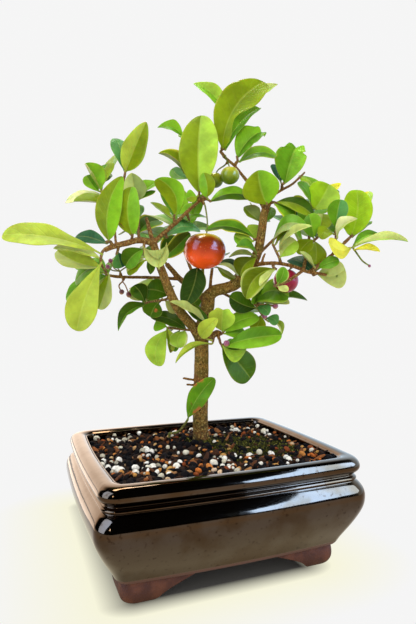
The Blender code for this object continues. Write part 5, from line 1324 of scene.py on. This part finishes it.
def potRing(inset, height):
    look = potSettings
    reachX = look["halfLength"] - inset
    reachY = look["halfWidth"] - inset
    corner = max(look["corner"] - inset * look["cornerShrink"], look["cornerLeast"])
    flat = []
    for index, (signX, signY) in enumerate(((1, -1), (1, 1), (-1, 1), (-1, -1))):
        middle = Vector((signX * (reachX - corner), signY * (reachY - corner), height))
        for step in range(look["cornerSteps"] + 1):
            turn = math.radians(90 * (index - 1) + 90 * step / look["cornerSteps"])
            flat.append(middle + Vector((math.cos(turn), math.sin(turn), 0)) * corner)
        heading = Vector((-math.sin(turn), math.cos(turn), 0))
        straight = 2 * (reachY - corner if index % 2 == 0 else reachX - corner)
        last = flat[-1]
        for step in range(1, look["sideSteps"]):
            flat.append(last + heading * (straight * step / look["sideSteps"]))
    ring = []
    for point in flat:
        longBow = look["bow"] * (1 - (point.x / reachX) ** 2) * point.y / reachY
        shortBow = look["bow"] * look["shortSideBow"] * (1 - (point.y / reachY) ** 2) * point.x / reachX
        ring.append(point + Vector((shortBow, longBow, 0)))
    return ring


def addDrain(pot, sign):
    look = potSettings
    rings = []
    for height in look["drainHeights"]:
        turns = [2 * math.pi * step / look["drainSides"] for step in range(look["drainSides"])]
        rings.append([Vector((sign * look["drainSpread"] + look["drainRadius"] * math.cos(turn),
                              look["drainRadius"] * math.sin(turn), height)) for turn in turns])
    drain = placedMesh("drain", *loftRings(rings), [clayBrown])
    cutOut = pot.modifiers.new("drain", "BOOLEAN")
    cutOut.operation = "DIFFERENCE"
    cutOut.object = drain
    return drain


def makePot():
    look = potSettings
    profile = [Vector((inset, height, 0)) for inset, height in look["profile"]]
    profile = smoothPath(profile, look["profileSteps"])
    points, faces = loftRings([potRing(place.x, place.y) for place in profile])
    pot = placedMesh("pot_body", points, faces, [glazeBlack])
    count = len(points) // len(profile)
    thin = []
    bare = []
    for place in profile:
        ridge = max(math.exp(-(((place.x - inset) ** 2 + (place.y - height) ** 2) / width**2))
                    for inset, height, width in look["ridges"])
        thin += [look["thinShare"] * ridge] * count
        bare += [float(place.x < look["bareInset"] and place.y < look["bareBelow"])] * count
    pointValues(pot.data, "thin", thin)
    pointValues(pot.data, "bare", bare)
    drains = [addDrain(pot, sign) for sign in (-1, 1)]
    applyModifiers(pot)
    for drain in drains:
        dropPiece(drain)
    settle(pot, "pot_glaze", "pot")


def footRing(height, leg, inset):
    look = footSettings
    x = potSettings["halfLength"] - inset
    y = potSettings["halfWidth"] - inset
    corner = look["corner"]
    thick = look["thickness"]
    turns = [math.pi / 2 * step / look["cornerSteps"] for step in range(look["cornerSteps"] + 1)]
    ring = [(x - corner + corner * math.cos(turn), y - corner + corner * math.sin(turn)) for turn in turns]
    ring += [(x - leg, y), (x - leg, y - thick), (x - thick, y - thick), (x - thick, y - leg), (x, y - leg)]
    return [Vector((*place, height)) for place in ring]


def makeFeet():
    look = footSettings
    levels = smoothPath([Vector(level) for level in look["levels"]], look["steps"])
    points, faces = loftRings([footRing(*level) for level in levels])
    for number, (signX, signY) in enumerate(((1, 1), (-1, 1), (-1, -1), (1, -1))):
        turned = [Vector((point.x * signX, point.y * signY, point.z)) for point in points]
        facing = faces if signX * signY > 0 else [face[::-1] for face in faces]
        foot = placedMesh(f"foot_{number + 1}", turned, facing, [clayBrown])
        edge = foot.modifiers.new("softEdge", "BEVEL")
        edge.width = look["bevel"] * mm
        edge.segments = 3
        edge.limit_method = "ANGLE"
        edge.angle_limit = look["bevelAngle"]
        applyModifiers(foot)
        settle(foot, "pot_glaze", "pot")


makePot()
makeFeet()
print("pot made")


# Soil

soilSettings = {
    "level": 60.6,
    "sides": ((19.8, 20.3), (14.6, 24.3), (12.2, 42.0)),
    "topInset": 11.15,
    "frontHeap": 3.2,
    "heapMiddle": -20.0,
    "heapRun": 22.0,
    "mound": 4.6,
    "moundRadius": 30.0,
    "relief": 0.8,
    "waves": (0.31, 1.3, 0.17, 0.27, 0.23),
    "rings": 56,
    "lastRing": 0.015,
    "edge": 0.8,
    "crumble": 1.3,
    "crumbleFade": 0.6,              # how much less it crumbles along the wall
    "crumbleScale": 0.21,
    "crumbleDetail": (0.7, 2.1, 4),  # sharpness, step in scale, layers
    "trunk": (-1.0, 69.0, -14.0),
    "moss": (33.0, 61.4, -4.0),
    "mossReach": 37.5,
    "mossEdge": (0.45, 1.0),
    "mossRing": (7, 15),             # moss round the trunk
    "mossClear": (4.5, 6.0),
    "grainClear": (5.5, 8.0),
    "patch": (3.0, 0.075),           # layer and scale of the noise
    "fleck": (9.0, 0.22),
    "frontFrom": -10,
    "cornerSpan": (30, -50),
    "mossRagged": (0.45, 5),         # how far the flecks push the moss's edge and its ring
    "mossRingShare": 0.8,
    "mossHides": (0.8, 0.5),         # how much the moss hides of the light grains and of the crumbs
    "perlite": (0.02, 0.05, 0.9, 2, 0.5),  # least share, share anywhere, and what each map adds
    "grit": (0.06, 0.25, 0.5, 0.5, 1.8),
    "chips": (0.15, 0.5, 1.5),
    "heaps": ((-61, -14, 9), (-50, -34, 10), (-30, -39, 9), (-5, -42, 8), (16, -32, 8), (31, -35, 8),
              (38, -46, 7), (-40, 52, 8), (-46, 45, 6), (-4, 38, 7), (16, 7, 5), (49, 36, 9), (46, 47, 7),
              (-35, 0, 6), (-31, -17, 6)),  # where the white grains gather
}
trunkFoot = seen(soilSettings["trunk"]) - potCentre
mossMiddle = seen(soilSettings["moss"]) - potCentre


def soilHeight(x, y, edge):
    look = soilSettings
    heap = look["frontHeap"] * (1 - math.tanh((y - look["heapMiddle"]) / look["heapRun"])) / 2
    away = math.hypot(x - trunkFoot.x, y - trunkFoot.y) / look["moundRadius"]
    mound = look["mound"] * math.exp(-away * away)
    acrossLong, sway, alongShort, alongLong, acrossShort = look["waves"]
    lumps = math.sin(acrossLong * x + sway * math.sin(alongShort * y))
    lumps *= math.cos(alongLong * y + math.sin(acrossShort * x))
    return look["level"] + heap + mound * (1 - edge) + look["relief"] * lumps


def soilRings():
    look = soilSettings
    wall = potRing(look["topInset"], 0)
    rings = []
    for index in range(look["rings"]):
        share = 1 - (1 - look["lastRing"]) * index / (look["rings"] - 1)
        edge = max(0.0, (share - look["edge"]) / (1 - look["edge"]))
        ring = []
        for point in wall:
            x = point.x * share
            y = point.y * share
            lumps = noise.fractal(Vector((x, y, 0)) * look["crumbleScale"], *look["crumbleDetail"])
            rough = look["crumble"] * lumps * (1 - look["crumbleFade"] * edge)
            ring.append(Vector((x, y, soilHeight(x, y, edge) + rough)))
        rings.append(ring)
    return rings


def makeSoil():
    top = soilRings()
    sides = [potRing(inset, height) for inset, height in soilSettings["sides"]]
    settle(placedMesh("soil_bed", *loftRings(sides + top), [soilDark]), "soil", "soil")
    return top


soilTop = makeSoil()
print("soil made")

grainSettings = {
    # share map, points per square metre, spacing, size from and to, least and most stretch,
    # tilt, lift, roundness, roughness
    "perlite": ("perlite", 65000.0, 2.8, (1.0, 2.6), (0.75, 0.65, 0.6), (1.15, 1.0, 0.95), 0.8, 1.5, 2, 0.8),
    "grit": ("grit", 30000.0, 2.2, (0.7, 2.4), (0.7, 0.6, 0.4), (1.2, 1.1, 0.8), 0.9, 0.8, 2, 1.2),
    "bark_chips": ("chips", 30000.0, 2.6, (1.3, 4.0), (0.9, 0.25, 0.14), (1.5, 0.6, 0.30), 0.8, 1.0, 2, 0.8),
    "crumbs": ("crumbs", 70000.0, 2.0, (0.9, 3.2), (0.7, 0.6, 0.5), (1.2, 1.1, 0.9), 0.8, 0.2, 2, 1.6),
    "moss": ("moss", 3200000.0, 0.35, (0.3, 0.8), (0.5, 0.5, 0.8), (0.8, 0.8, 1.9), 0.5, 0.3, 1, 0.4),
}
grainTones = {
    "perlite": grainFinish("perliteWhite", 0.7, 900, (
        (0.0, (0.34, 0.31, 0.24)), (0.25, (0.70, 0.66, 0.52)), (0.6, (0.82, 0.80, 0.72)),
        (1.0, (0.92, 0.91, 0.87)))),
    "grit": grainFinish("gritTan", 0.75, 1500, (
        (0.0, (0.22, 0.05, 0.015)), (0.4, (0.55, 0.16, 0.03)), (0.75, (0.56, 0.32, 0.09)),
        (1.0, (0.70, 0.52, 0.36)))),
    "bark_chips": grainFinish("chipBrown", 0.7, 1300, (
        (0.0, (0.015, 0.008, 0.005)), (0.5, (0.07, 0.026, 0.010)), (0.85, (0.26, 0.09, 0.025)),
        (1.0, (0.50, 0.30, 0.13)))),
    "crumbs": grainFinish("crumbBlack", 0.8, 1200, (
        (0.0, (0.003, 0.002, 0.0015)), (0.7, (0.010, 0.006, 0.004)), (1.0, (0.05, 0.024, 0.012)))),
    "moss": grainFinish("mossGreen", 0.8, 2500, (
        (0.0, (0.010, 0.011, 0.002)), (0.55, (0.038, 0.040, 0.005)), (0.9, (0.11, 0.11, 0.012)),
        (1.0, (0.28, 0.27, 0.05)))),
}
grainDraws = {"lumpScale": 480.0, "fullTurn": 6.283, "firstSeed": 40, "stretch": 11, "size": 12, "turn": 13,
              "tone": 14}


def strewGrains():
    draws = grainDraws
    kit = GeometryKit("strewGrains", {
        "Share": "String", "Density": "Float", "Spacing": "Float", "Smallest": "Float", "Largest": "Float",
        "Least Stretch": "Vector", "Most Stretch": "Vector", "Tilt": "Float", "Lift": "Float",
        "Roundness": "Int", "Lump Height": "Float", "Seed": "Int", "Material": "Material"})
    points = kit.node("GeometryNodeDistributePointsOnFaces", {
        0: kit.given(), "Distance Min": kit.given("Spacing"), "Density Max": kit.given("Density"),
        "Density Factor": kit.attribute(kit.given("Share")), "Seed": kit.given("Seed")},
        distribute_method="POISSON")
    lifted = kit.node("GeometryNodeSetPosition", {0: points, 3: kit.xyz(0.0, 0.0, kit.given("Lift"))})
    blob = kit.node("GeometryNodeMeshIcoSphere", {"Radius": 1.0, "Subdivisions": kit.given("Roundness")})
    stretch = kit.random("FLOAT_VECTOR", kit.given("Least Stretch"), kit.given("Most Stretch"),
                         draws["stretch"])
    size = kit.random("FLOAT", kit.given("Smallest"), kit.given("Largest"), draws["size"])
    tilt = kit.given("Tilt")
    lean = tilt * -1.0
    turn = kit.random("FLOAT_VECTOR", kit.xyz(lean, lean, 0.0), kit.xyz(tilt, tilt, draws["fullTurn"]),
                      draws["turn"])
    placed = kit.node("GeometryNodeInstanceOnPoints", {
        "Points": lifted, "Instance": blob, "Rotation": turn, "Scale": kit.scaled(stretch, size)})
    toned = kit.node("GeometryNodeStoreNamedAttribute", {
        0: placed, "Name": "tone", "Value": kit.random("FLOAT", 0.0, 1.0, draws["tone"])},
        data_type="FLOAT", domain="INSTANCE")
    real = kit.node("GeometryNodeRealizeInstances", {0: toned})
    kit.finish(kit.pushOut(real, draws["lumpScale"], kit.given("Lump Height")))
    return kit


def grainShares(x, y):
    look = soilSettings
    patch, fleck = [noise.noise(Vector((x, y, layer)) * scale)
                    for layer, scale in (look["patch"], look["fleck"])]
    front = easeIn(look["frontFrom"], look["topInset"] - potSettings["halfWidth"], y)
    corner = front * easeIn(*look["cornerSpan"], x)
    nearTrunk = math.hypot(x - trunkFoot.x, y - trunkFoot.y)
    nearMoss = math.hypot(x - mossMiddle.x, y - mossMiddle.y) / look["mossReach"]
    raggedEdge, raggedRing = look["mossRagged"]
    green = max(1 - easeIn(*look["mossEdge"], nearMoss + raggedEdge * fleck),
                (1 - easeIn(*look["mossRing"], nearTrunk + raggedRing * fleck)) * look["mossRingShare"])
    clear = easeIn(*look["grainClear"], nearTrunk)
    lightHidden, crumbsHidden = look["mossHides"]
    light = clear * (1 - lightHidden * green)
    heap = max(math.exp(-((x - heapX) ** 2 + (y - heapY) ** 2) / radius**2)
               for heapX, heapY, radius in look["heaps"])
    least, anywhere, heaped, flecked, patched = look["perlite"]
    perlite = light * min(1.0, max(least, anywhere + heap * (heaped + flecked * fleck) + patched * patch))
    least, anywhere, fronted, cornered, patched = look["grit"]
    grit = light * min(1.0, max(least, anywhere + fronted * front + cornered * corner - patched * patch))
    least, anywhere, flecked = look["chips"]
    return {
        "perlite": perlite,
        "grit": grit,
        "chips": light * min(1.0, max(least, anywhere + flecked * fleck)),
        "crumbs": clear * (1 - crumbsHidden * green),
        "moss": green * easeIn(*look["mossClear"], nearTrunk),
    }


def makeGrains():
    strewTree = strewGrains()
    points, faces = loftRings(soilTop)
    ground = placedMesh("ground", points, faces[1:], [])
    shares = [grainShares(point.x, point.y) for point in points]
    for name in shares[0]:
        pointValues(ground.data, name, [share[name] for share in shares])
    for number, (name, values) in enumerate(grainSettings.items()):
        share, density, spacing, (smallest, largest), least, most, tilt, lift, roundness, lumps = values
        modifier = strewTree.growOn(ground, {
            "Share": share, "Density": density, "Spacing": spacing * mm, "Smallest": smallest * mm,
            "Largest": largest * mm, "Least Stretch": least, "Most Stretch": most, "Tilt": tilt,
            "Lift": lift * mm, "Roundness": roundness, "Lump Height": lumps * mm * smallest,
            "Seed": grainDraws["firstSeed"] + number, "Material": grainTones[name]})
        grains = newPiece(name, evaluatedMesh(ground))
        ground.modifiers.remove(modifier)
        print("grains", name, len(grains.data.polygons))
        settle(grains, "soil")
    dropPiece(ground)


makeGrains()
print("grains strewn")


# Wood

woodSettings = {
    "smallStub": (1.15, 1.05),
    "swell": (0.35, -0.1),           # what the thick and the thin branches gain
    "thick": 1.8,
    "rootHeights": (45.0, 58.0, 64.0, 70.0),
    "rootRadii": (5.9, 5.1),
    "spurs": ((200, 8.5), (262, 9.5), (318, 8.0), (20, 7.5), (95, 8.0), (150, 7.0)),  # turn, reach
    "spurStart": (1.5, 3.0),         # outward and up from the root's top
    "spurMiddle": (0.55, 67.5),      # share of the reach, height
    "spurEnd": 62.5,
    "spurRadii": (2.4, 1.2),
    "youngTint": (0.25, 0.115, 0.028),
    "oldTint": (0.31, 0.175, 0.040),
    "ageRadii": (1.4, 3.6),          # wood is young up to the first radius and old from the second
}


def woodLines():
    look = woodSettings
    lines = []
    for start, end, places in woodPaths.values():
        gain = look["swell"][0 if start > look["thick"] else 1]
        lines.append((smoothPath([seen(place) for place in places], barkSettings["steps"]),
                      start + gain, end + gain))
    for piece in [*sprays.values(), *bunches.values(), *fruits.values()]:
        lines.append(([seen(place) for place in piece[0]], *look["smallStub"]))
    foot = seen(soilSettings["trunk"])
    root = [Vector((foot.x, foot.y, height)) for height in look["rootHeights"]]
    lines.append((root, *look["rootRadii"]))
    out, up = look["spurStart"]
    share, height = look["spurMiddle"]
    for turn, reach in look["spurs"]:
        outward = Vector((math.cos(math.radians(turn)), math.sin(math.radians(turn)), 0))
        spur = [root[-1] + outward * out + upward * up,
                Vector((foot.x, foot.y, height)) + outward * reach * share,
                Vector((foot.x, foot.y, look["spurEnd"])) + outward * reach]
        lines.append((smoothPath(spur, 4), *look["spurRadii"]))
    return lines


def makeWood():
    look = barkSettings
    lines = woodLines()
    axis = kdtree.KDTree(sum(len(path) for path, start, end in lines))
    radii = []
    for path, start, end in lines:
        for index, point in enumerate(path):
            axis.insert(point * mm, len(radii))
            radii.append(radiusAt(start, end, index, path))
    axis.balance()
    wood = newPiece("bark", barkMesh(lines, look["sides"], look["woodLumps"], look["woodLumpScale"]))
    voxels = wood.modifiers.new("voxels", "REMESH")
    voxels.mode = "VOXEL"
    voxels.voxel_size = look["voxel"] * mm
    voxels.use_smooth_shade = True
    ease = wood.modifiers.new("ease", "SMOOTH")
    ease.factor = 0.5
    ease.iterations = 2
    skinTree.growOn(wood, {"Height": look["grain"] * mm, "Scale": look["grainScale"], "Material": barkBrown})
    applyModifiers(wood)
    ages = [easeIn(*woodSettings["ageRadii"], radii[axis.find(vert.co)[1]]) for vert in wood.data.vertices]
    tints = [blendColours(woodSettings["youngTint"], woodSettings["oldTint"], age) for age in ages]
    tint = wood.data.color_attributes.new("tint", "FLOAT_COLOR", "POINT")
    tint.data.foreach_set("color", [part for colour in tints for part in (*colour, 1)])
    pointValues(wood.data, "age", ages)
    print("bark", len(wood.data.polygons))
    settle(wood, "bark", "wood")


makeWood()
print("wood made")


# Sprays

spraySettings = {
    "twigRadius": 0.95,
    "taper": 0.8,
    "rootClear": 1.5,
    "rootStep": 0.5,
    "square": 0.9,
    "least": 3.2,
    "overlap": 0.8,
    "twigTint": (0.24, 0.13, 0.05),
    "soft": {"right_tip": (0.6, (0.20, 0.28, 0.04))},  # a thinner, green twig
    "budTint": (0.34, 0.06, 0.13),
    "budTip": (0.5, 0.25, 0.12),
    "budTipSpan": (-0.2, -0.9),
    "budStretch": 1.1,
    "budForm": (0.12, 0.1, 15, 10),  # lobes, dimple, steps round and up
}
dimpleWidth = 0.12
weldDistance = 1e-7


def carriedPath(stub, places):
    look = spraySettings
    inside, end = [seen(place) for place in stub]
    heading = (end - inside).normalized()
    return [end - heading * look["overlap"], end + heading * look["square"]] + [seen(place) for place in places]


def twigPaths(stub, twigs):
    first = carriedPath(stub, twigs[0])
    missing = spraySettings["least"] - sum((end - start).length for start, end in zip(first[1:], first[2:]))
    if missing > 0:
        first[-1] = first[-1] + (first[-1] - first[-2]).normalized() * missing
    return [first] + [[seen(place) for place in twig] for twig in twigs[1:]]


def stalkRoot(paths, point):
    look = spraySettings
    places = []
    for path in paths:
        for start, end in zip(path, path[1:]):
            steps = max(1, round((end - start).length / look["rootStep"]))
            places += [start.lerp(end, step / steps) for step in range(steps + 1)]
    clear = [place for place in places if (place - paths[0][0]).length >= look["rootClear"] + look["overlap"]]
    return min(clear, key=lambda place: (place - point).length)


def addBall(shape, centre, radii, finish, tintAt, lobes, dimple, across, upways):
    radius, upright = radii
    points = []
    faces = []
    tints = []
    for row in range(upways + 1):
        level = math.cos(math.pi * row / upways)
        for step in range(across):
            around = 2 * math.pi * step / across
            swell = (1 + lobes * math.cos(3 * around) * (1 - level * level)) * math.sqrt(max(0.0, 1 - level**2))
            sink = dimple * math.exp(-(1 - level) / dimpleWidth)
            points.append(centre + Vector((swell * radius * math.cos(around), swell * radius * math.sin(around),
                                           (level - sink) * upright)))
            tints.append(tintAt(level, around))
    for row in range(upways):
        for step in range(across):
            after = (step + 1) % across
            low = row * across
            face = [low + step, low + across + step, low + across + after, low + after]
            if row == 0:
                face.pop()
            elif row == upways - 1:
                face.pop(2)
            faces.append(face)
    shape.add(points, faces, finish, tints)


def addBud(shape, place, radius, finish, pink):
    look = spraySettings

    def tintAt(level, around):
        return blendColours(pink, look["budTip"], easeIn(*look["budTipSpan"], level))

    addBall(shape, seen(place), (radius, radius * look["budStretch"]), finish, tintAt, *look["budForm"])


def settleShape(shape, node, materials, slot):
    piece = shape.build(node + "_fine", materials)
    work = bmesh.new()
    work.from_mesh(piece.data)
    bmesh.ops.remove_doubles(work, verts=work.verts, dist=weldDistance)
    work.to_mesh(piece.data)
    work.free()
    settle(piece, slot, node)


def makeSpray(name, stub, twigs, leaves):
    look = spraySettings
    node = "leaves_" + name
    shape = Shape()
    paths = twigPaths(stub, twigs)
    corners = cornersOf(node)
    for number, values in enumerate(leaves):
        leaf = Leaf(*values)
        bend = bendOf(leaf, corners)
        if bend is None:
            print("no solid leaf for", node, number)
            continue
        if (name, number) in leafPlaces:
            leaf, bend = leafPlaces[name, number], 0
        addLeaf(shape, leaf, stalkRoot(paths, seen(leaf.base)), bend, node, number)
    thin, twigTint = look["soft"].get(name, (1.0, look["twigTint"]))
    radius = look["twigRadius"] * thin
    addTwigs(shape, [(smoothPath(path, 4), radius, radius * look["taper"]) for path in paths], twigTint)
    for place, radius in sprayBuds.get(name, ()):
        addBud(shape, place, radius, 2, look["budTint"])
    settleShape(shape, node, [leafGreen, barkBrown, budRed], "leaf")


for sprayName, sprayParts in sprays.items():
    makeSpray(sprayName, *sprayParts)
print("sprays made", len(sprays))


# Shoot

shootSettings = {"foot": (-22.0, 71.0, -17.0), "bottom": 56.0, "radii": (1.05, 0.8), "tint": (0.20, 0.22, 0.05)}


def makeShoot():
    look = shootSettings
    foot = seen(look["foot"])
    stem = [Vector((foot.x, foot.y, look["bottom"])), foot] + [seen(place) for place in shootStem]
    shape = Shape()
    addLeaf(shape, shootLeaf, stem[-1], 0, "shoot", 0)
    addTwigs(shape, [(smoothPath(stem, 5), *look["radii"])], look["tint"])
    settle(shape.build("shoot_fine", [leafGreen, barkBrown]), "leaf", "shoot")


makeShoot()
print("shoot made")


# Fruit

fruitSettings = {
    "stalkRadii": (0.6, 0.4),
    "stalkLumps": 0.5,
    "stalkTint": (0.16, 0.20, 0.04),
    "lobes": 0.035,
    "dimple": 0.16,
    "steps": (60, 40),
    "drift": (0.13, 0.4, 0.07, 5),   # how the bands of colour lean and ripple
    "bands": ((0.0, 0.45), (0.5, 0.85), (0.0, -0.6)),  # shoulder, top and underneath
    # tint at the top, on the shoulder, round the middle and underneath: the pale tops by the stalk are the
    # fruit's own colour, the darker shoulders and undersides are painted shade, and the front cherry's bright
    # underside is painted light
    "cherry_front": ((0.52, 0.38, 0.012), (0.20, 0.032, 0.003), (0.42, 0.045, 0.006), (0.92, 0.100, 0.012),
                     cherryRed, "cherry"),
    "cherry_right": ((0.36, 0.03, 0.06), (0.40, 0.016, 0.05), (0.40, 0.016, 0.06), (0.24, 0.006, 0.02),
                     cherryRed, "cherry_dark"),
    "berry_front": ((0.62, 0.56, 0.05), (0.46, 0.48, 0.03), (0.28, 0.36, 0.015), (0.13, 0.20, 0.01),
                    berryGreen, "berry"),
    "berry_rear": ((0.52, 0.50, 0.05), (0.38, 0.38, 0.02), (0.22, 0.28, 0.012), (0.10, 0.15, 0.01),
                   berryGreen, "berry"),
    # tint of the stalks and of the buds on them
    "flower_buds": ((0.24, 0.22, 0.05), (0.38, 0.07, 0.16)),
    "fruitlets": ((0.30, 0.13, 0.04), (0.14, 0.028, 0.02)),
}


def makeFruit(name, stub, places, centre, radius, upright):
    look = fruitSettings
    top, shoulder, middle, under, material, slotName = look[name]
    shape = Shape()
    lean, leanTurn, ripple, ripples = look["drift"]

    def tintAt(level, around):
        # the bands paint shade low on each fruit, and light under the front cherry, over the fruit's own colour
        level += lean * math.cos(around + leanTurn) + ripple * math.sin(ripples * around)
        tint = middle
        for other, band in zip((shoulder, top, under), look["bands"]):
            tint = blendColours(tint, other, easeIn(*band, level))
        return tint

    addBall(shape, seen(centre), (radius, upright), 0, tintAt, look["lobes"], look["dimple"], *look["steps"])
    stalk = smoothPath(carriedPath(stub, places), 5)
    addTwigs(shape, [(stalk, *look["stalkRadii"])], look["stalkTint"], look["stalkLumps"])
    settleShape(shape, name, [material, barkBrown], slotName)


def makeBunch(name, stub, stalks, buds):
    look = fruitSettings
    stalkTint, budTint = look[name]
    shape = Shape()
    start, end = look["stalkRadii"]
    lines = [(smoothPath(carriedPath(stub, stalks[0]), 4), start, end)]
    lines += [(smoothPath([seen(place) for place in stalk], 4), end, end) for stalk in stalks[1:]]
    addTwigs(shape, lines, stalkTint, look["stalkLumps"])
    for place, radius in buds:
        addBud(shape, place, radius, 0, budTint)
    settleShape(shape, name, [budRed, barkBrown], "bud")


for fruitName, fruitParts in fruits.items():
    makeFruit(fruitName, *fruitParts)
for bunchName, bunchParts in bunches.items():
    makeBunch(bunchName, *bunchParts)
print("fruit made")


# Floor, light and camera

studioSettings = {
    "floorSize": 4.0,
    # The floor round the pot is painted: a dark painted shadow under and beside the pot fades into a warm
    # painted glow, and then the floor is as bright as the backdrop
    "floorShadowStretch": (1.0, 1.5, 1.0),
    "floorShadowSpan": (-0.050, -0.107, 0.0),
    "floorPaintedShadow": (0.14, 0.14, 0.135),
    "floorShadowReach": 0.075,
    "floorShadowFade": (0.0, 0.27),
    "floorPaintedGlow": (0.93, 0.913, 0.72),
    "backdrop": 0.915,
    "fill": 1.0,
    "room": 0.010,                   # what the glaze mirrors in front of the pot and above it
    "roomTurn": math.radians(44),
    "roomWidth": (math.cos(math.radians(97)), math.cos(math.radians(86))),
    "roomTop": (0.55, 0.8),
    "warm": (3.0, 2.6, 2.25),
    "cool": (1.2, 1.6, 2.05),
    "coolSide": (0.1, 0.5),
    "lamps": {  # place, target, size, watts, colour, seen in gloss, lights the surfaces
        "frontFill": ((-0.35, -1.3, 0.35), (0, 0, 0.05), (0.8, 0.4), 5.0, (1.0, 0.97, 0.93), False, True),
        "softbox": ((-0.2, 0.1, 0.85), (0, 0, 0.15), (0.26, 0.16), 2.8, (1.0, 0.98, 0.94), False, True),
        "glintTop": ((-0.05, 0.12, 0.95), (0, 0, 0.2), (0.5, 0.2), 9.0, (1.0, 0.98, 0.94), True, False),
        "windowRight": ((0.70, -1.20, 0.42), (-0.26, -1.477, 0.42), (2.0, 0.5), 44.0, (0.50, 0.90, 1.7),
                        True, False),
        "windowLeft": ((-1.0, -0.18, 0.62), (-0.08, -0.06, 0.05), (0.75, 1.25), 20.0, (0.55, 0.82, 1.4),
                       True, False),
        "glowLeft": ((-0.24, 0.33, 0.002), (-0.24, 0.331, 1.0), (0.24, 0.5), 0.8, (1.0, 0.84, 0.70),
                     True, False),
        "lampLeft": ((-0.42, -0.50, 0.32), (-0.03, -0.03, 0.06), (0.02, 0.10), 0.25, (1.0, 0.93, 0.82),
                     True, True),
    },
}


def makeFloor():
    look = studioSettings
    half = look["floorSize"] / 2
    mesh = bpy.data.meshes.new("floor")
    corners = [(-half, -half, 0), (half, -half, 0), (half, half, 0), (-half, half, 0)]
    mesh.from_pydata(corners, [], [(0, 1, 2, 3)])
    paint = Paint("floorWhite", {"Roughness": 0.6, "Specular IOR Level": 0.0, "Emission Strength": 1.0})
    # distance out from the painted shadow's box: near it the base colour is the painted shadow, further out the
    # emission is the warm painted glow and then the backdrop's even white
    beyond = paint.vector("ABSOLUTE", {0: paint.places()})
    beyond = paint.vector("MULTIPLY_ADD", {0: beyond, 1: look["floorShadowStretch"], 2: look["floorShadowSpan"]})
    beyond = paint.vector("MAXIMUM", {0: beyond, 1: (0, 0, 0)})
    away = paint.vector("LENGTH", {0: beyond}, "Value") * (1 / look["floorShadowReach"])
    start, end = look["floorShadowFade"]
    mesh.materials.append(paint.feed(
        colour=paint.ramp(away, ((start, look["floorPaintedShadow"]), (end, (0, 0, 0)))),
        glow=paint.ramp(away, ((start, (0, 0, 0)), (end, look["floorPaintedGlow"]), (1.0, (look["backdrop"],) * 3)))))
    newPiece("floor", mesh)


def addLamp(name, place, target, size, watts, colour, mirrored, diffuse):
    lamp = bpy.data.lights.new(name, "AREA")
    lamp.shape = "RECTANGLE"
    lamp.size, lamp.size_y = size
    lamp.energy = watts
    lamp.color = colour
    holder = newPiece(name, lamp)
    holder.visible_glossy = mirrored
    holder.visible_diffuse = diffuse
    holder.visible_camera = False
    holder.location = place
    holder.rotation_euler = (Vector(target) - Vector(place)).to_track_quat("-Z", "Y").to_euler()


def makeWorld():
    look = studioSettings
    world = bpy.data.worlds.new("studio")
    bpy.context.scene.world = world
    world.use_nodes = True
    sky = NodeKit(world.node_tree)
    place = sky.places("Generated")
    level = sky.vector("NORMALIZE", {0: sky.vector("MULTIPLY", {0: place, 1: (1, 1, 0)})})
    front = (-math.sin(look["roomTurn"]), -math.cos(look["roomTurn"]), 0)
    ahead = sky.vector("DOT_PRODUCT", {0: level, 1: front}, "Value")
    lit = (1 - sky.step(ahead, *look["roomWidth"])) * (1 - sky.step(sky.axis(place, 2), *look["roomTop"]))
    walls = sky.mix(sky.step(sky.axis(place, 0), *look["coolSide"]), look["warm"], look["cool"])
    mirrored = sky.mix(lit, (look["room"],) * 3, walls)
    glossy = sky.node("ShaderNodeLightPath", {}, "Is Glossy Ray")
    direct = sky.node("ShaderNodeLightPath", {}, "Is Camera Ray")
    colour = sky.mix(glossy, (look["fill"],) * 3, mirrored)
    colour = sky.mix(direct, colour, (look["backdrop"],) * 3)
    sky.tree.links.new(colour.socket, sky.tree.nodes["Background"].inputs["Color"])


def makeCamera():
    back = Vector((math.sin(view["angle"]) * math.cos(view["rise"]),
                   -math.cos(view["angle"]) * math.cos(view["rise"]), math.sin(view["rise"])))
    target = potCentre + viewRight * view["across"] + upward * view["up"]
    place = target + back * view["distance"]
    lens = bpy.data.cameras.new("camera")
    lens.lens = view["lens"]
    lens.clip_start = mm
    holder = newPiece("camera", lens)
    holder.location = place * mm
    holder.rotation_euler = (target - place).to_track_quat("-Z", "Y").to_euler()
    holder.rotation_euler.rotate_axis("Z", view["roll"])
    bpy.context.scene.camera = holder


makeFloor()
makeWorld()
for lampName, lampValues in studioSettings["lamps"].items():
    addLamp(lampName, *lampValues)
makeCamera()
bpy.context.scene.view_settings.view_transform = "Standard"

print("scene ready")
